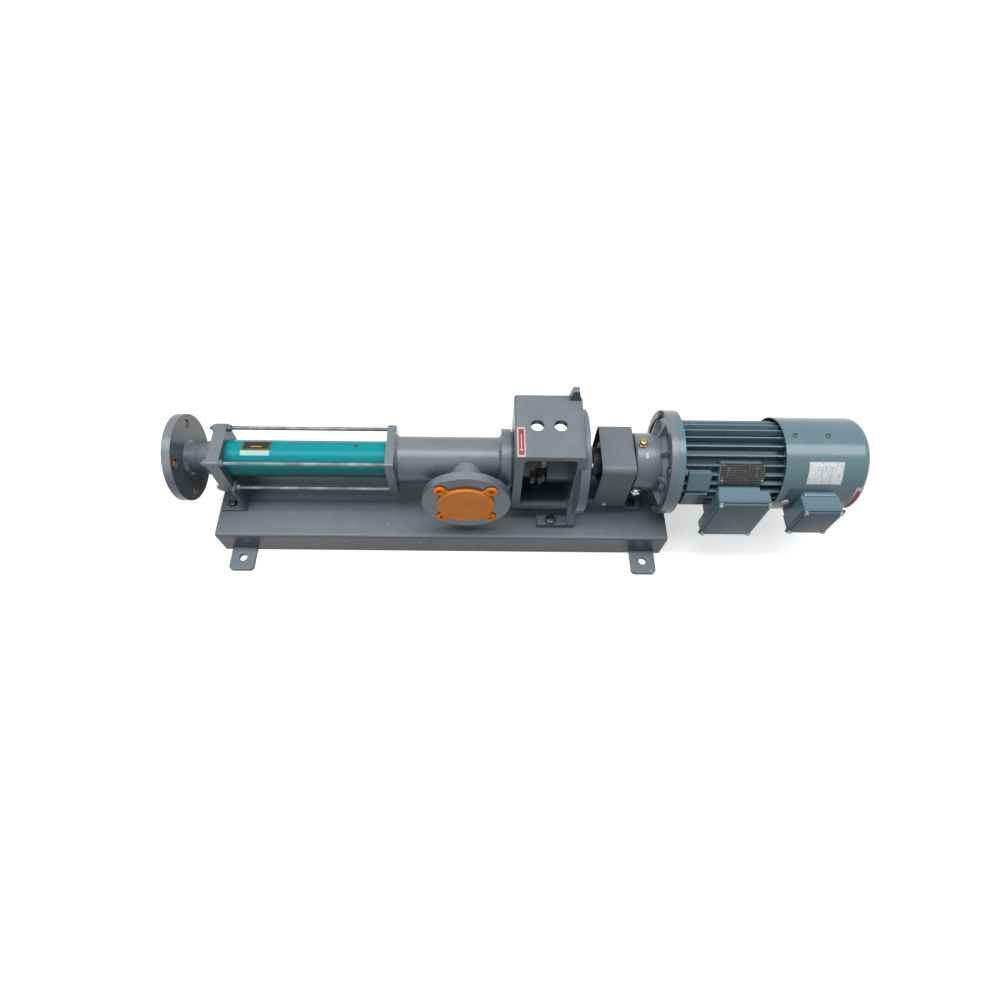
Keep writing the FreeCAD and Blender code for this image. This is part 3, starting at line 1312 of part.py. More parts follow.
def make_reducer_housing():
    outer = s.reducerDiameter / 2
    right = s.reducerX + s.reducerLength
    inner = outer - s.reducerWall
    shell = turned("reducer_shell", [
        (s.reducerX, s.reducerShaftDiameter / 2 + s.slack), (s.reducerX, outer - s.reducerEdge),
        (s.reducerX + s.reducerEdge, outer), (right, outer), (right, inner),
        (s.reducerX + s.reducerWall * 1.5, inner),
        (s.reducerX + s.reducerWall * 1.5, s.reducerShaftDiameter / 2 + s.slack)])
    footHalf = s.reducerFootWidth / 2
    foot = block("reducer_foot", (s.reducerX, right), (-footHalf, footHalf),
                 (baseTop, baseTop + s.reducerFootThickness))
    web = block("reducer_web", (s.reducerX + s.reducerWall, right - s.reducerWall),
                (-s.reducerWebWidth / 2, s.reducerWebWidth / 2), (baseTop, axis - inner * 0.9))
    boss = cylinder("reducer_level_boss", "y", s.plugThread * 0.75, -outer, -outer * 0.8,
                    levelX, levelZ)
    joined = fuse("reducer_joined", shell, foot, web, boss)
    cavity = cylinder("reducer_cavity", "x", inner, s.reducerX + s.reducerWall * 1.5,
                      right + s.slack, 0, axis)
    holes = [cylinder(f"reducer_foot_hole_{number}", "z", radius + s.boltGap, baseTop - s.slack,
                      baseTop + s.reducerFootThickness + s.slack, x, y)
             for number, (x, y, radius) in enumerate(reducer_bolt_places())]
    breather = cylinder("reducer_breather_hole", "z", s.plugThread / 2 + s.fitGap,
                        axis + outer / 2, axis + outer * 1.2, breatherX, 0)
    level = cylinder("reducer_level_hole", "y", s.plugThread / 2 + s.fitGap, -outer * 1.2,
                     -outer / 2, levelX, levelZ)
    return cut("reducer_housing", joined, cavity, breather, level, *holes)


breatherX = s.reducerX + s.breatherOffset
levelX = s.reducerX + s.levelOffset
levelZ = axis - s.levelDrop


def make_reducer_shaft():
    right = s.reducerX + s.reducerLength * 0.9
    radius = s.reducerShaftDiameter / 2
    return turned("reducer_shaft", [
        (hubTwoX + s.slack, 0), (hubTwoX + s.slack, radius),
        (s.reducerX + s.reducerWall * 1.5 + s.slack, radius),
        (s.reducerX + s.reducerWall * 1.5 + s.slack, s.reducerDiameter * 0.3),
        (right, s.reducerDiameter * 0.3), (right, 0)])


def make_breather_plug():
    outer = s.reducerDiameter / 2
    low = axis + outer - s.slack
    stem = cylinder("breather_stem", "z", s.plugThread / 2, low - s.reducerWall / 2,
                    low + s.plugThread / 4, breatherX, 0)
    collar = hexagon("breather_collar", "z", s.plugThread * 0.8, low + s.slack,
                     low + s.plugThread / 2, breatherX, 0)
    cap = cylinder("breather_cap", "z", s.plugThread * 0.55, low + s.plugThread / 2,
                   low + s.plugThread * 1.2, breatherX, 0)
    return fuse("breather_plug", stem, collar, cap)


def make_level_plug():
    outer = s.reducerDiameter / 2
    face = -outer - s.fitGap
    stem = cylinder("level_stem", "y", s.plugThread / 2, face, face + s.reducerWall / 2,
                    levelX, levelZ)
    head = hexagon("level_head", "y", s.plugThread * 0.8, face - s.plugThread / 2, face, levelX, levelZ)
    return fuse("level_plug", stem, head)


def make_adapter_flange():
    outer = s.adapterDiameter / 2
    hub = s.reducerDiameter / 2
    reducerRight = s.reducerX + s.reducerLength
    recess = s.adapterX + s.adapterRecess
    bore = s.motorShaftDiameter
    body = turned("adapter_form", [
        (reducerRight, bore), (reducerRight, hub), (s.adapterX - s.weldBead / 2, hub),
        (recess, hub + s.weldBead), (recess, outer - s.adapterRim),
        (s.adapterX, outer - s.adapterRim), (s.adapterX, outer), (motorFlangeX, outer),
        (motorFlangeX, bore)])
    doc.recompute()
    sketch = new_sketch(body, "adapter_rib_outline", "XZ_Plane")
    polygon(sketch, [
        (reducerRight + s.slack, hub - s.weldBead), (reducerRight + s.weldBead, hub),
        (s.adapterX + s.adapterRecess / 2, outer - s.adapterRim),
        (recess, outer - s.adapterRim / 2), (recess + s.slack, hub - s.weldBead)])
    rib = body.newObject("PartDesign::Pad", "adapter_rib")
    rib.Profile = sketch
    rib.SideType = "Symmetric"
    bind(rib, "Length", s.adapterRib)
    around(body, "adapter_ribs", rib, s.adapterRibCount)
    place(body, 0, 0, axis, ALONG_X, 180 / s.adapterRibCount.number)
    holes = [cylinder(f"adapter_hole_{number}", "x", s.flangeBolt / 2 + s.boltGap,
                      s.adapterX - s.slack, motorFlangeX + s.slack, y, z)
             for number, (y, z) in enumerate(flange_bolt_places())]
    return cut("adapter_flange", body, *holes)


def flange_bolt_places():
    return [on_circle(s.adapterCircle, angle) for angle in DIAGONALS]


def make_flange_bolts():
    bolts = []
    for number, (y, z) in enumerate(flange_bolt_places()):
        bolts.append(hex_bolt(f"flange_bolt_{number}", "x", 1, s.adapterX, y, z, s.flangeBolt,
                              s.adapterThickness + s.motorFlange + s.flangeBolt))
        bolts.append(hex_nut(f"flange_nut_{number}", "x", shieldX, shieldX + s.flangeBolt * 0.8,
                             y, z, s.flangeBolt, s.flangeBolt * 0.95))
    return several("flange_bolts", *bolts)


def make_motor_front_shield():
    bore = s.motorShaftDiameter / 2 + s.slack
    shield = turned("front_shield_form", [
        (motorFlangeX, bore), (motorFlangeX, s.adapterDiameter / 2),
        (shieldX, s.adapterDiameter / 2), (shieldX, s.frameDiameter / 2 + s.weldBead),
        (s.frameX, s.frameDiameter / 2 + s.weldBead / 2), (s.frameX, s.statorCoreDiameter / 2),
        (s.frameX + s.weldBead, s.statorCoreDiameter / 2 - s.fitGap),
        (s.frameX + s.weldBead, s.statorCoreDiameter / 2 - s.weldBead),
        (shieldX, s.statorCoreDiameter / 2 - s.weldBead), (shieldX, bore)])
    holes = [cylinder(f"shield_hole_{number}", "x", s.flangeBolt / 2 + s.boltGap,
                      motorFlangeX - s.slack, shieldX + s.slack, y, z)
             for number, (y, z) in enumerate(flange_bolt_places())]
    return cut("motor_front_shield", shield, *holes)


def make_motor_frame():
    body = new_body("motor_frame_form")
    sketch = new_sketch(body, "motor_barrel", "YZ_Plane")
    circle(sketch, 0, 0, s.frameDiameter / 2)
    circle(sketch, 0, 0, s.statorCoreDiameter / 2)
    barrel = body.newObject("PartDesign::Pad", "motor_barrel_pad")
    barrel.Profile = sketch
    bind(barrel, "Length", s.frameLength)
    doc.recompute()
    fin = new_sketch(body, "motor_fin", "YZ_Plane")
    root = s.frameDiameter / 2 - s.slack
    polygon(fin, [(-s.finRoot / 2, root), (s.finRoot / 2, root), (s.finTip / 2, s.finDiameter / 2),
                  (-s.finTip / 2, s.finDiameter / 2)])
    pad = body.newObject("PartDesign::Pad", "motor_fin_pad")
    pad.Profile = fin
    bind(pad, "Length", s.frameLength)
    around(body, "motor_fin_circle", pad, s.finCount)
    place(body, s.frameX, 0, axis)
    neckSide = s.boxHeightZ * 0.36
    neck = block("motor_box_neck", (s.boxX + s.boxWidthX / 8, s.boxX + s.boxWidthX * 7 / 8),
                 (-s.boxBack, -s.frameDiameter / 4),
                 (axis + s.boxCentreZ - neckSide, axis + s.boxCentreZ + neckSide))
    root = s.frameDiameter * 0.4
    plate = arm("motor_plate_pad", (s.boxX + s.boxWidthX * 0.08, s.boxX + s.boxWidthX * 0.8),
                root, s.finDiameter / 2 + s.slack, s.platePadWidth, platePadAngle)
    bossTop = arm("motor_boss_top", (s.bossX, s.bossX + s.bossLength), root, s.bossReach,
                  s.bossWidth, bossAngle)
    bossFront = block("motor_boss_front", (s.bossX, s.bossX + s.bossLength),
                      (-s.bossReach, -root), (axis - s.bossWidth / 2, axis + s.bossWidth / 2))
    joined = fuse("motor_frame_joined", body, neck, plate, bossTop, bossFront)
    bore = cylinder("motor_frame_bore", "x", s.statorCoreDiameter / 2, s.frameX - s.slack,
                    frameRightX + s.slack, 0, axis)
    return cut("motor_frame", joined, bore)


platePadAngle = 138
bossAngle = 150


def make_motor_stator_core():
    outer = s.statorCoreDiameter / 2 - s.fitGap
    inner = s.rotorCoreDiameter / 2 + s.airGap
    left = s.coreX
    right = s.coreX + s.coreLength
    winding = s.coreLength * 0.16
    return turned("motor_stator_core", [
        (left - winding, inner + s.weldBead / 2), (left - winding, outer - s.weldBead * 1.5),
        (left, outer - s.weldBead * 1.5), (left, outer), (right, outer),
        (right, outer - s.weldBead * 1.5), (right + winding, outer - s.weldBead * 1.5),
        (right + winding, inner + s.weldBead / 2), (right, inner + s.weldBead / 2), (right, inner),
        (left, inner), (left, inner + s.weldBead / 2)])


def make_motor_shaft():
    thin = s.motorShaftDiameter / 2
    left = s.reducerX + s.reducerLength * 0.9 + s.slack * 3
    return turned("motor_shaft", [
        (left, 0), (left, thin), (s.coreX, thin), (s.coreX + s.coreLength, thin),
        (frameRightX + s.cowlRound, thin), (frameRightX + s.cowlRound, 0)])


def make_motor_rotor_core():
    left = s.coreX
    right = s.coreX + s.coreLength
    bore = s.motorShaftDiameter / 2 + s.fitGap
    ring = s.rotorCoreDiameter / 2 - s.weldBead / 2
    return turned("motor_rotor_core", [
        (left - s.weldBead * 2, ring * 0.7), (left - s.weldBead * 2, ring), (left, ring),
        (left, s.rotorCoreDiameter / 2), (right, s.rotorCoreDiameter / 2), (right, ring),
        (right + s.weldBead * 2, ring), (right + s.weldBead * 2, ring * 0.7), (right, ring * 0.7),
        (right, bore), (left, bore), (left, ring * 0.7)])


def make_motor_rear_shield():
    bore = s.motorShaftDiameter / 2 + s.slack
    seat = s.statorCoreDiameter / 2
    right = frameRightX + s.rearShieldLength
    middle = frameRightX + s.rearShieldLength / 3
    dish = turned("rear_shield_dish", [
        (frameRightX - s.weldBead, seat - s.weldBead), (frameRightX - s.weldBead, seat - s.fitGap),
        (frameRightX, seat - s.fitGap), (frameRightX, s.frameDiameter / 2),
        (right - s.weldBead, s.frameDiameter / 2), (right, s.frameDiameter / 2 - s.weldBead),
        (right, bore), (middle, bore), (middle, seat - s.weldBead)])
    inside = cowlDiameter / 2 - s.cowlWall
    lugs = [arm(f"rear_lug_{number}", (frameRightX, right), s.frameDiameter * 0.4,
                inside - s.slack * 2, s.rearLug, angle)
            for number, angle in enumerate(SQUARE)]
    holes = [spoke(f"rear_lug_hole_{number}", s.cowlScrew / 2 + s.fitGap,
                   inside - cowlScrewLength, inside, rearScrewX, angle)
             for number, angle in enumerate(SQUARE)]
    return cut("motor_rear_shield", fuse("rear_shield_joined", dish, *lugs), *holes)


rearScrewX = frameRightX + s.rearShieldLength * 0.6
fanArmX = s.fanMotorX + s.weldBead
fanArmWidth = s.cowlRound * 0.8
fanScrewX = fanArmX + fanArmWidth / 2
cowlScrewLength = s.cowlScrew * 2.4


def cowl_screw_places():
    rear = [(rearScrewX, angle) for angle in SQUARE]
    return rear + [(fanScrewX, angle) for angle in TRIPOD]


def make_cowl_screws():
    outside = cowlDiameter / 2
    screws = []
    for number, (x, angle) in enumerate(cowl_screw_places()):
        shank = spoke(f"cowl_screw_shank_{number}", s.cowlScrew / 2,
                      outside - s.cowlWall - cowlScrewLength + s.slack, outside + s.slack, x, angle)
        head = spoke(f"cowl_screw_head_{number}", s.cowlScrew, outside + s.fitGap,
                     outside + s.cowlScrew * 0.6, x, angle)
        screws.append(fuse(f"cowl_screw_{number}", shank, head))
    return several("cowl_screws", *screws)


def make_fan_cowl():
    outer = cowlDiameter / 2
    wall = s.cowlWall
    body = new_body("fan_cowl_form")
    sketch = new_sketch(body, "fan_cowl_outline", "XZ_Plane")
    bend = s.cowlRound
    steps = 4
    outside = []
    inside = []
    for step in range(steps + 1):
        turn = math.radians(90 * step / steps)
        outside.append((cowlRightX - bend + bend * math.sin(turn), outer - bend + bend * math.cos(turn)))
        inside.append((cowlRightX - bend + (bend - wall) * math.sin(turn),
                       outer - bend + (bend - wall) * math.cos(turn)))
    hole = s.fanMotorDiameter / 2 * 0.3
    polygon(sketch, [(s.cowlX, outer)] + outside + [(cowlRightX, hole), (cowlRightX - wall, hole)]
            + inside[::-1] + [(s.cowlX, outer - wall)])
    turn = body.newObject("PartDesign::Revolution", "fan_cowl_turn")
    turn.Profile = sketch
    turn.ReferenceAxis = (sketch, ["H_Axis"])
    turn.Angle = 360
    place(body, 0, 0, axis)
    slots = []
    for ring in range(4):
        radius = outer * (0.38 + 0.13 * ring)
        width = s.cowlRound * 0.36
        tube = turned(f"cowl_slot_ring_{ring}", [
            (cowlRightX - wall * 2, radius - width / 2), (cowlRightX - wall * 2, radius + width / 2),
            (cowlRightX + wall, radius + width / 2), (cowlRightX + wall, radius - width / 2)])
        slots.append(tube)
    bridges = [arm(f"cowl_bridge_{number}", (cowlRightX - wall * 3, cowlRightX + wall * 2),
                   as_size(0), outer, s.cowlRound / 2, angle)
               for number, angle in enumerate(DIAGONALS)]
    grille = cut("cowl_slots", fuse("cowl_rings", *slots), *bridges)
    holes = [spoke(f"cowl_screw_hole_{number}", s.cowlScrew / 2 + s.slack, outer - wall * 2,
                   outer + wall, x, angle)
             for number, (x, angle) in enumerate(cowl_screw_places())]
    return cut("fan_cowl", body, grille, *holes)


def make_fan_motor():
    right = s.fanMotorX + s.fanMotorLength
    radius = s.fanMotorDiameter / 2
    can = turned("fan_motor_can", [
        (s.fanMotorX, 0), (s.fanMotorX, radius * 0.8), (s.fanMotorX + s.weldBead, radius),
        (right, radius), (cowlRightX - s.cowlWall, radius * 0.6), (cowlRightX - s.cowlWall, 0)])
    inside = cowlDiameter / 2 - s.cowlWall
    arms = [arm(f"fan_motor_arm_{number}", (fanArmX, fanArmX + fanArmWidth), radius * 0.8,
                inside - s.slack * 2, fanArmWidth, angle)
            for number, angle in enumerate(TRIPOD)]
    holes = [spoke(f"fan_motor_hole_{number}", s.cowlScrew / 2 + s.fitGap,
                   inside - cowlScrewLength, inside, fanScrewX, angle)
             for number, angle in enumerate(TRIPOD)]
    return cut("fan_motor", fuse("fan_motor_joined", can, *arms), *holes)


def make_cooling_fan():
    hub = s.fanMotorDiameter * 0.22
    hubBody = turned("fan_hub", [(s.fanX, 0), (s.fanX, hub), (s.fanX + s.fanLength, hub),
                                 (s.fanX + s.fanLength, s.shaftEndDiameter / 6),
                                 (s.fanMotorX - s.slack, s.shaftEndDiameter / 6),
                                 (s.fanMotorX - s.slack, 0)])
    blades = []
    count = int(s.fanBladeCount.number)
    for number in range(count):
        blades.append(fan_blade(number, 360 / count * number, hub))
    return fuse("cooling_fan", hubBody, *blades)


def fan_blade(number, angle, hub):
    # A flat paddle set at a pitch, lofted from root to tip so that it twists
    root = hub.number * 0.8
    tip = s.fanDiameter.number / 2
    thick = s.cowlWall.number / 2
    depth = s.fanLength.number
    wires = []
    for radius, chord, pitch in ((root, depth * 0.9, 40), (tip, depth * 1.5, 22)):
        lean = math.radians(pitch)
        middle = s.fanX.number + depth / 2
        along = FreeCAD.Vector(math.sin(lean), math.cos(lean), 0)
        face = FreeCAD.Vector(math.cos(lean), -math.sin(lean), 0)
        corners = []
        for a, b in ((-1, -1), (1, -1), (1, 1), (-1, 1)):
            point = FreeCAD.Vector(middle, 0, radius) + along * (a * chord / 2) + face * (b * thick)
            corners.append(point)
        wires.append(Part.makePolygon(corners + corners[:1]))
    blade = Part.makeLoft(wires, True, True)
    blade.rotate(FreeCAD.Vector(0, 0, 0), ALONG_X, angle)
    return shape_node(f"fan_blade_{number}", blade, 0, 0, axis.number)


# A terminal box: an open shell on its neck, and a stepped lid
def terminal_box(name, xs, ys, zs):
    over = s.lidOverhang
    wall = s.boxWall
    outside = block(name + "_block", (xs[0] + over, xs[1] - over), ys, (zs[0] + over, zs[1] - over))
    soft = rounded(name + "_soft", outside, ALONG_Y, s.boxCorner)
    hollow = block(name + "_hollow", (xs[0] + over + wall, xs[1] - over - wall),
                   (ys[0] - s.slack, ys[1] - wall), (zs[0] + over + wall, zs[1] - over - wall))
    return cut(name, soft, hollow)


def box_lid(name, xs, front, depth, zs):
    step = depth * 0.45
    inset = s.lidOverhang * 2
    edge = block(name + "_edge", xs, (front + step, front + depth), zs)
    soft = rounded(name + "_edge_soft", edge, ALONG_Y, s.boxCorner)
    panel = block(name + "_panel", (xs[0] + inset, xs[1] - inset), (front, front + depth),
                  (zs[0] + inset, zs[1] - inset))
    raised = rounded(name + "_panel_soft", panel, ALONG_Y, s.boxCorner)
    return fuse(name, soft, raised)


def box_extent(x, width, centre, height):
    return (x, x + width), (axis + centre - height / 2, axis + centre + height / 2)


def make_terminal_box():
    xs, zs = box_extent(s.boxX, s.boxWidthX, s.boxCentreZ, s.boxHeightZ)
    return terminal_box("terminal_box", xs, (-s.boxFront + s.boxLid, -s.boxBack), zs)


def make_terminal_box_lid():
    xs, zs = box_extent(s.boxX, s.boxWidthX, s.boxCentreZ, s.boxHeightZ)
    return box_lid("terminal_box_lid", xs, -s.boxFront, s.boxLid, zs)


def make_fan_terminal_box():
    xs, zs = box_extent(s.fanBoxX, s.fanBoxWidthX, s.fanBoxCentreZ, s.fanBoxHeightZ)
    box = terminal_box("fan_box_shell", xs, (-s.fanBoxFront + s.fanBoxLid, -s.fanBoxBack), zs)
    margin = s.boxWall * 2
    saddle = block("fan_box_saddle", (xs[0] + margin, xs[1] - margin),
                   (-s.fanBoxBack, -cowlDiameter / 3), (zs[0] + margin, zs[1] - margin))
    seat = cylinder("fan_box_seat", "x", cowlDiameter / 2 + s.fitGap, xs[0] - s.slack,
                    xs[1] + s.slack, 0, axis)
    return fuse("fan_terminal_box", box, cut("fan_box_foot", saddle, seat))


def make_fan_box_lid():
    xs, zs = box_extent(s.fanBoxX, s.fanBoxWidthX, s.fanBoxCentreZ, s.fanBoxHeightZ)
    return box_lid("fan_box_lid", xs, -s.fanBoxFront, s.fanBoxLid, zs)


# A port cap: a shallow dish with a raised rim and four ears over the bolt holes
def port_cap(name, direction):
    rim = s.capDiameter / 2
    thick = s.capThickness
    dish = turned(name + "_dish", [
        (0, 0), (0, rim), (thick + s.capRim, rim), (thick + s.capRim, rim - s.capRimWidth),
        (thick, rim - s.capRimWidth), (thick, 0)])
    place(dish, 0, 0, 0)
    ears = []
    holes = []
    for number, angle in enumerate(DIAGONALS):
        turn = math.radians(angle)
        y = s.flangeCircle / 2 * math.cos(turn)
        z = s.flangeCircle / 2 * math.sin(turn)
        ears.append(cylinder(f"{name}_ear_{number}", "x", s.capEar / 2, as_size(0), thick, y, z))
        holes.append(cylinder(f"{name}_ear_hole_{number}", "x", s.capEarHole / 2, -thick, thick * 2,
                              y, z))
    joined = fuse(name + "_joined", dish, *ears)
    cap = cut(name, joined, *holes)
    if direction == "suction":
        return place(cap, s.suctionX, -s.suctionReach, axis, ALONG_Z, -90)
    return place(cap, flangeX, 0, axis, ALONG_Z, 180)


def make_suction_cap():
    return port_cap("suction_cap", "suction")


def make_discharge_cap():
    return port_cap("discharge_cap", "discharge")


MAKERS = [
    make_base_channel, make_foot_tabs, make_base_bolts, make_discharge_body,
    make_discharge_support, make_tie_rods, make_tie_rod_nuts, make_stator_tube,
    make_stator_lining, make_rotor, make_rotor_pin, make_drive_pin, make_coupling_rod,
    make_joint_sleeves, make_suction_casing, make_drain_plug, make_stuffing_box,
    make_box_screws, make_packing_rings, make_gland, make_gland_studs, make_bearing_bracket,
    make_bearing_outer_rings, make_bearing_inner_rings, make_bearing_rollers,
    make_bearing_spacer, make_bearing_cover, make_cover_screws, make_lip_seal,
    make_grease_nipple, make_drive_shaft, make_pump_coupling_hub, make_reducer_coupling_hub,
    make_coupling_spider, make_coupling_guard, make_guard_brackets, make_guard_screws,
    make_reducer_housing, make_reducer_shaft, make_breather_plug, make_level_plug,
    make_adapter_flange, make_flange_bolts, make_motor_front_shield, make_motor_frame,
    make_motor_stator_core, make_motor_shaft, make_motor_rotor_core, make_motor_rear_shield,
    make_fan_cowl, make_cowl_screws, make_fan_motor, make_cooling_fan, make_terminal_box,
    make_terminal_box_lid, make_fan_terminal_box, make_fan_box_lid, make_suction_cap,
    make_discharge_cap,
]


def check(item, problems):
    if "Invalid" in item.State or "Error" in item.State:
        problems.append(f"{item.Label}: {item.State}")


def main():
    parts = [maker() for maker in MAKERS]
    doc.recompute()
    problems = []
    for item in doc.Objects:
        check(item, problems)
    for part in parts:
        if part.Shape.isNull() or not part.Shape.isValid():
            problems.append(f"{part.Label}: shape is empty or not valid")
    if problems:
        raise RuntimeError("; ".join(problems))
    os.makedirs("parts", exist_ok=True)
    for part in parts:
        part.Shape.exportStep(f"parts/{part.Label}.step")
        print(part.Label, len(part.Shape.Solids), "solids", round(part.Shape.Volume), "mm3")


main()
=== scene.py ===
import math
import bmesh
import bpy
from mathutils import Matrix, Vector


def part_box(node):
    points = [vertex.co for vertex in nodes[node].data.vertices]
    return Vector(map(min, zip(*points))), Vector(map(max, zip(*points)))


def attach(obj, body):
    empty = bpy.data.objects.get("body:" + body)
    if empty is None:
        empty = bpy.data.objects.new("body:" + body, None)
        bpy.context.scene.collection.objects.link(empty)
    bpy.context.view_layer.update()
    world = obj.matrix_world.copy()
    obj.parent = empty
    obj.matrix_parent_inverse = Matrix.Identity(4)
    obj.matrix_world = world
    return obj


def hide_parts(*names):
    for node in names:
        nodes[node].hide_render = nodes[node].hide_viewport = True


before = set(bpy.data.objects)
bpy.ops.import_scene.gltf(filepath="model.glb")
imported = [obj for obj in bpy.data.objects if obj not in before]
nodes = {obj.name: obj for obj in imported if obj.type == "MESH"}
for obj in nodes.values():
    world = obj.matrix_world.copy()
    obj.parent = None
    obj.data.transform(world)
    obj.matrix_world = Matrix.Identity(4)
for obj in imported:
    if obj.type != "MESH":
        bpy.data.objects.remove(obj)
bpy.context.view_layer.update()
print("frame loaded:", len(nodes), "nodes")

mm = 0.001
axisZ = 188 * mm  # height of the pump's axis


# Camera, light and floor
view = {
    "place": (0.08494, -0.77127, 1.28211),
    "right": (0.99995, 0.00643, 0.00820),
    "up": (-0.00952, 0.88423, 0.46695),
    "sensor": 36, "lens": 22.11, "near": 0.01,
    "shift": (0.0173, 0.0396),
}

# The key lamp hangs along the whole pump and draws the long highlights, the other lights the front
lamps = {
    "keyLamp": {"energy": 56.0, "size": (4.6, 0.8), "place": (0.5, -0.04, 2.0), "aim": (0.5, 0.02, 0.1)},
    "fillLamp": {"energy": 9.5, "size": (1.4, 1.4), "place": (-1.3, -1.6, 1.3), "aim": (0.1, 0, 0.15)},
}

white = (1, 1, 1, 1)
sky = {"tint": (0.93, 0.96, 1.0, 1), "strength": 0.14}

# The camera sees the bright floor, which glows more further away, and the dull one lights the part
ground = {
    "size": 12, "drop": 0.5 * mm,
    "bright": (0.8, 0.8, 0.8, 1), "dull": (0.22, 0.22, 0.22, 1),
    "distance": (1.0, 2.6), "glow": (0.6, 1.0),
}


def addCamera():
    data = bpy.data.cameras.new("camera")
    data.sensor_width = view["sensor"]
    data.lens = view["lens"]
    data.shift_x, data.shift_y = view["shift"]
    data.clip_start = view["near"]
    right = Vector(view["right"]).normalized()
    back = right.cross(Vector(view["up"])).normalized()
    turn = Matrix((right, back.cross(right), back)).transposed().to_4x4()
    camera = bpy.data.objects.new("camera", data)
    camera.matrix_world = Matrix.Translation(view["place"]) @ turn
    bpy.context.collection.objects.link(camera)
    bpy.context.scene.camera = camera


def addLamps():
    for name, values in lamps.items():
        data = bpy.data.lights.new(name, "AREA")
        data.energy = values["energy"]
        data.shape = "RECTANGLE"
        data.size, data.size_y = values["size"]
        lamp = bpy.data.objects.new(name, data)
        lamp.location = values["place"]
        way = Vector(values["aim"]) - Vector(values["place"])
        lamp.rotation_euler = way.to_track_quat("-Z", "Y").to_euler()
        bpy.context.collection.objects.link(lamp)


def addWorld():
    world = bpy.data.worlds.new("studio")
    bpy.context.scene.world = world
    graph = Graph(world, empty=True)
    soft = graph.coloured("ShaderNodeBackground", sky["tint"])
    soft.inputs["Strength"].default_value = sky["strength"]
    graph.close(soft, graph.coloured("ShaderNodeBackground", white), "ShaderNodeOutputWorld")


def addFloor():
    bm = bmesh.new()
    bmesh.ops.create_grid(bm, x_segments=1, y_segments=1, size=ground["size"])
    floor = meshObject("floor", bm)
    material = bpy.data.materials.new("paleFloor")
    graph = Graph(material, empty=True)
    away = graph.add("ShaderNodeVectorMath", operation="LENGTH")
    graph.link(graph.add("ShaderNodeTexCoord").outputs["Object"], away.inputs[0])
    glow = graph.coloured("ShaderNodeEmission", white)
    strength = graph.ramp(away.outputs["Value"], *ground["distance"], *ground["glow"])
    graph.link(strength, glow.inputs["Strength"])
    both = graph.add("ShaderNodeAddShader")
    graph.link(graph.coloured("ShaderNodeBsdfDiffuse", ground["bright"]).outputs[0], both.inputs[0])
    graph.link(glow.outputs[0], both.inputs[1])
    graph.close(graph.coloured("ShaderNodeBsdfDiffuse", ground["dull"]), both, "ShaderNodeOutputMaterial")
    floor.data.materials.append(material)
    floor.location.z = -ground["drop"]


def meshObject(name, bm):
    mesh = bpy.data.meshes.new(name)
    bm.to_mesh(mesh)
    bm.free()
    item = bpy.data.objects.new(name, mesh)
    bpy.context.collection.objects.link(item)
    return item


# Colours are read as screen values and turned into the renderer's own
def colour(red, green, blue):
    def linear(value):
        value = value / 255
        return value / 12.92 if value <= 0.04045 else ((value + 0.055) / 1.055) ** 2.4
    return (linear(red), linear(green), linear(blue), 1)


class Graph:
    # A short way to add nodes to a world or a material and join them
    def __init__(self, owner, empty=False):
        owner.use_nodes = True
        self.tree = owner.node_tree
        if empty:
            self.tree.nodes.clear()

    def add(self, kind, **settings):
        node = self.tree.nodes.new(kind)
        for key, value in settings.items():
            setattr(node, key, value)
        return node

    def coloured(self, kind, tone):
        node = self.add(kind)
        node.inputs["Color"].default_value = tone
        return node

    def link(self, start, end):
        self.tree.links.new(start, end)

    def put(self, value, socket):
        # A plain value is set, and the output of another node is joined
        if isinstance(value, (int, float, tuple)):
            socket.default_value = value
        else:
            self.link(value, socket)

    def math(self, operation, first, second=0.0):
        node = self.add("ShaderNodeMath", operation=operation)
        self.put(first, node.inputs[0])
        self.put(second, node.inputs[1])
        return node.outputs[0]

    def ramp(self, source, low, high, start=0.0, end=1.0):
        node = self.add("ShaderNodeMapRange", clamp=True)
        node.inputs["From Min"].default_value = low
        node.inputs["From Max"].default_value = high
        node.inputs["To Min"].default_value = start
        node.inputs["To Max"].default_value = end
        self.link(source, node.inputs["Value"])
        return node.outputs["Result"]

    def close(self, lit, seen, output):
        # One shader lights the part, the other shows to the camera, at once, in metal or through glass
        path = self.add("ShaderNodeLightPath")
        share = self.math("MAXIMUM", path.outputs["Is Camera Ray"], path.outputs["Is Glossy Ray"])
        share = self.math("MAXIMUM", share, path.outputs["Is Transmission Ray"])
        mix = self.add("ShaderNodeMixShader")
        self.link(share, mix.inputs[0])
        self.link(lit.outputs[0], mix.inputs[1])
        self.link(seen.outputs[0], mix.inputs[2])
        self.link(mix.outputs[0], self.add(output).inputs["Surface"])


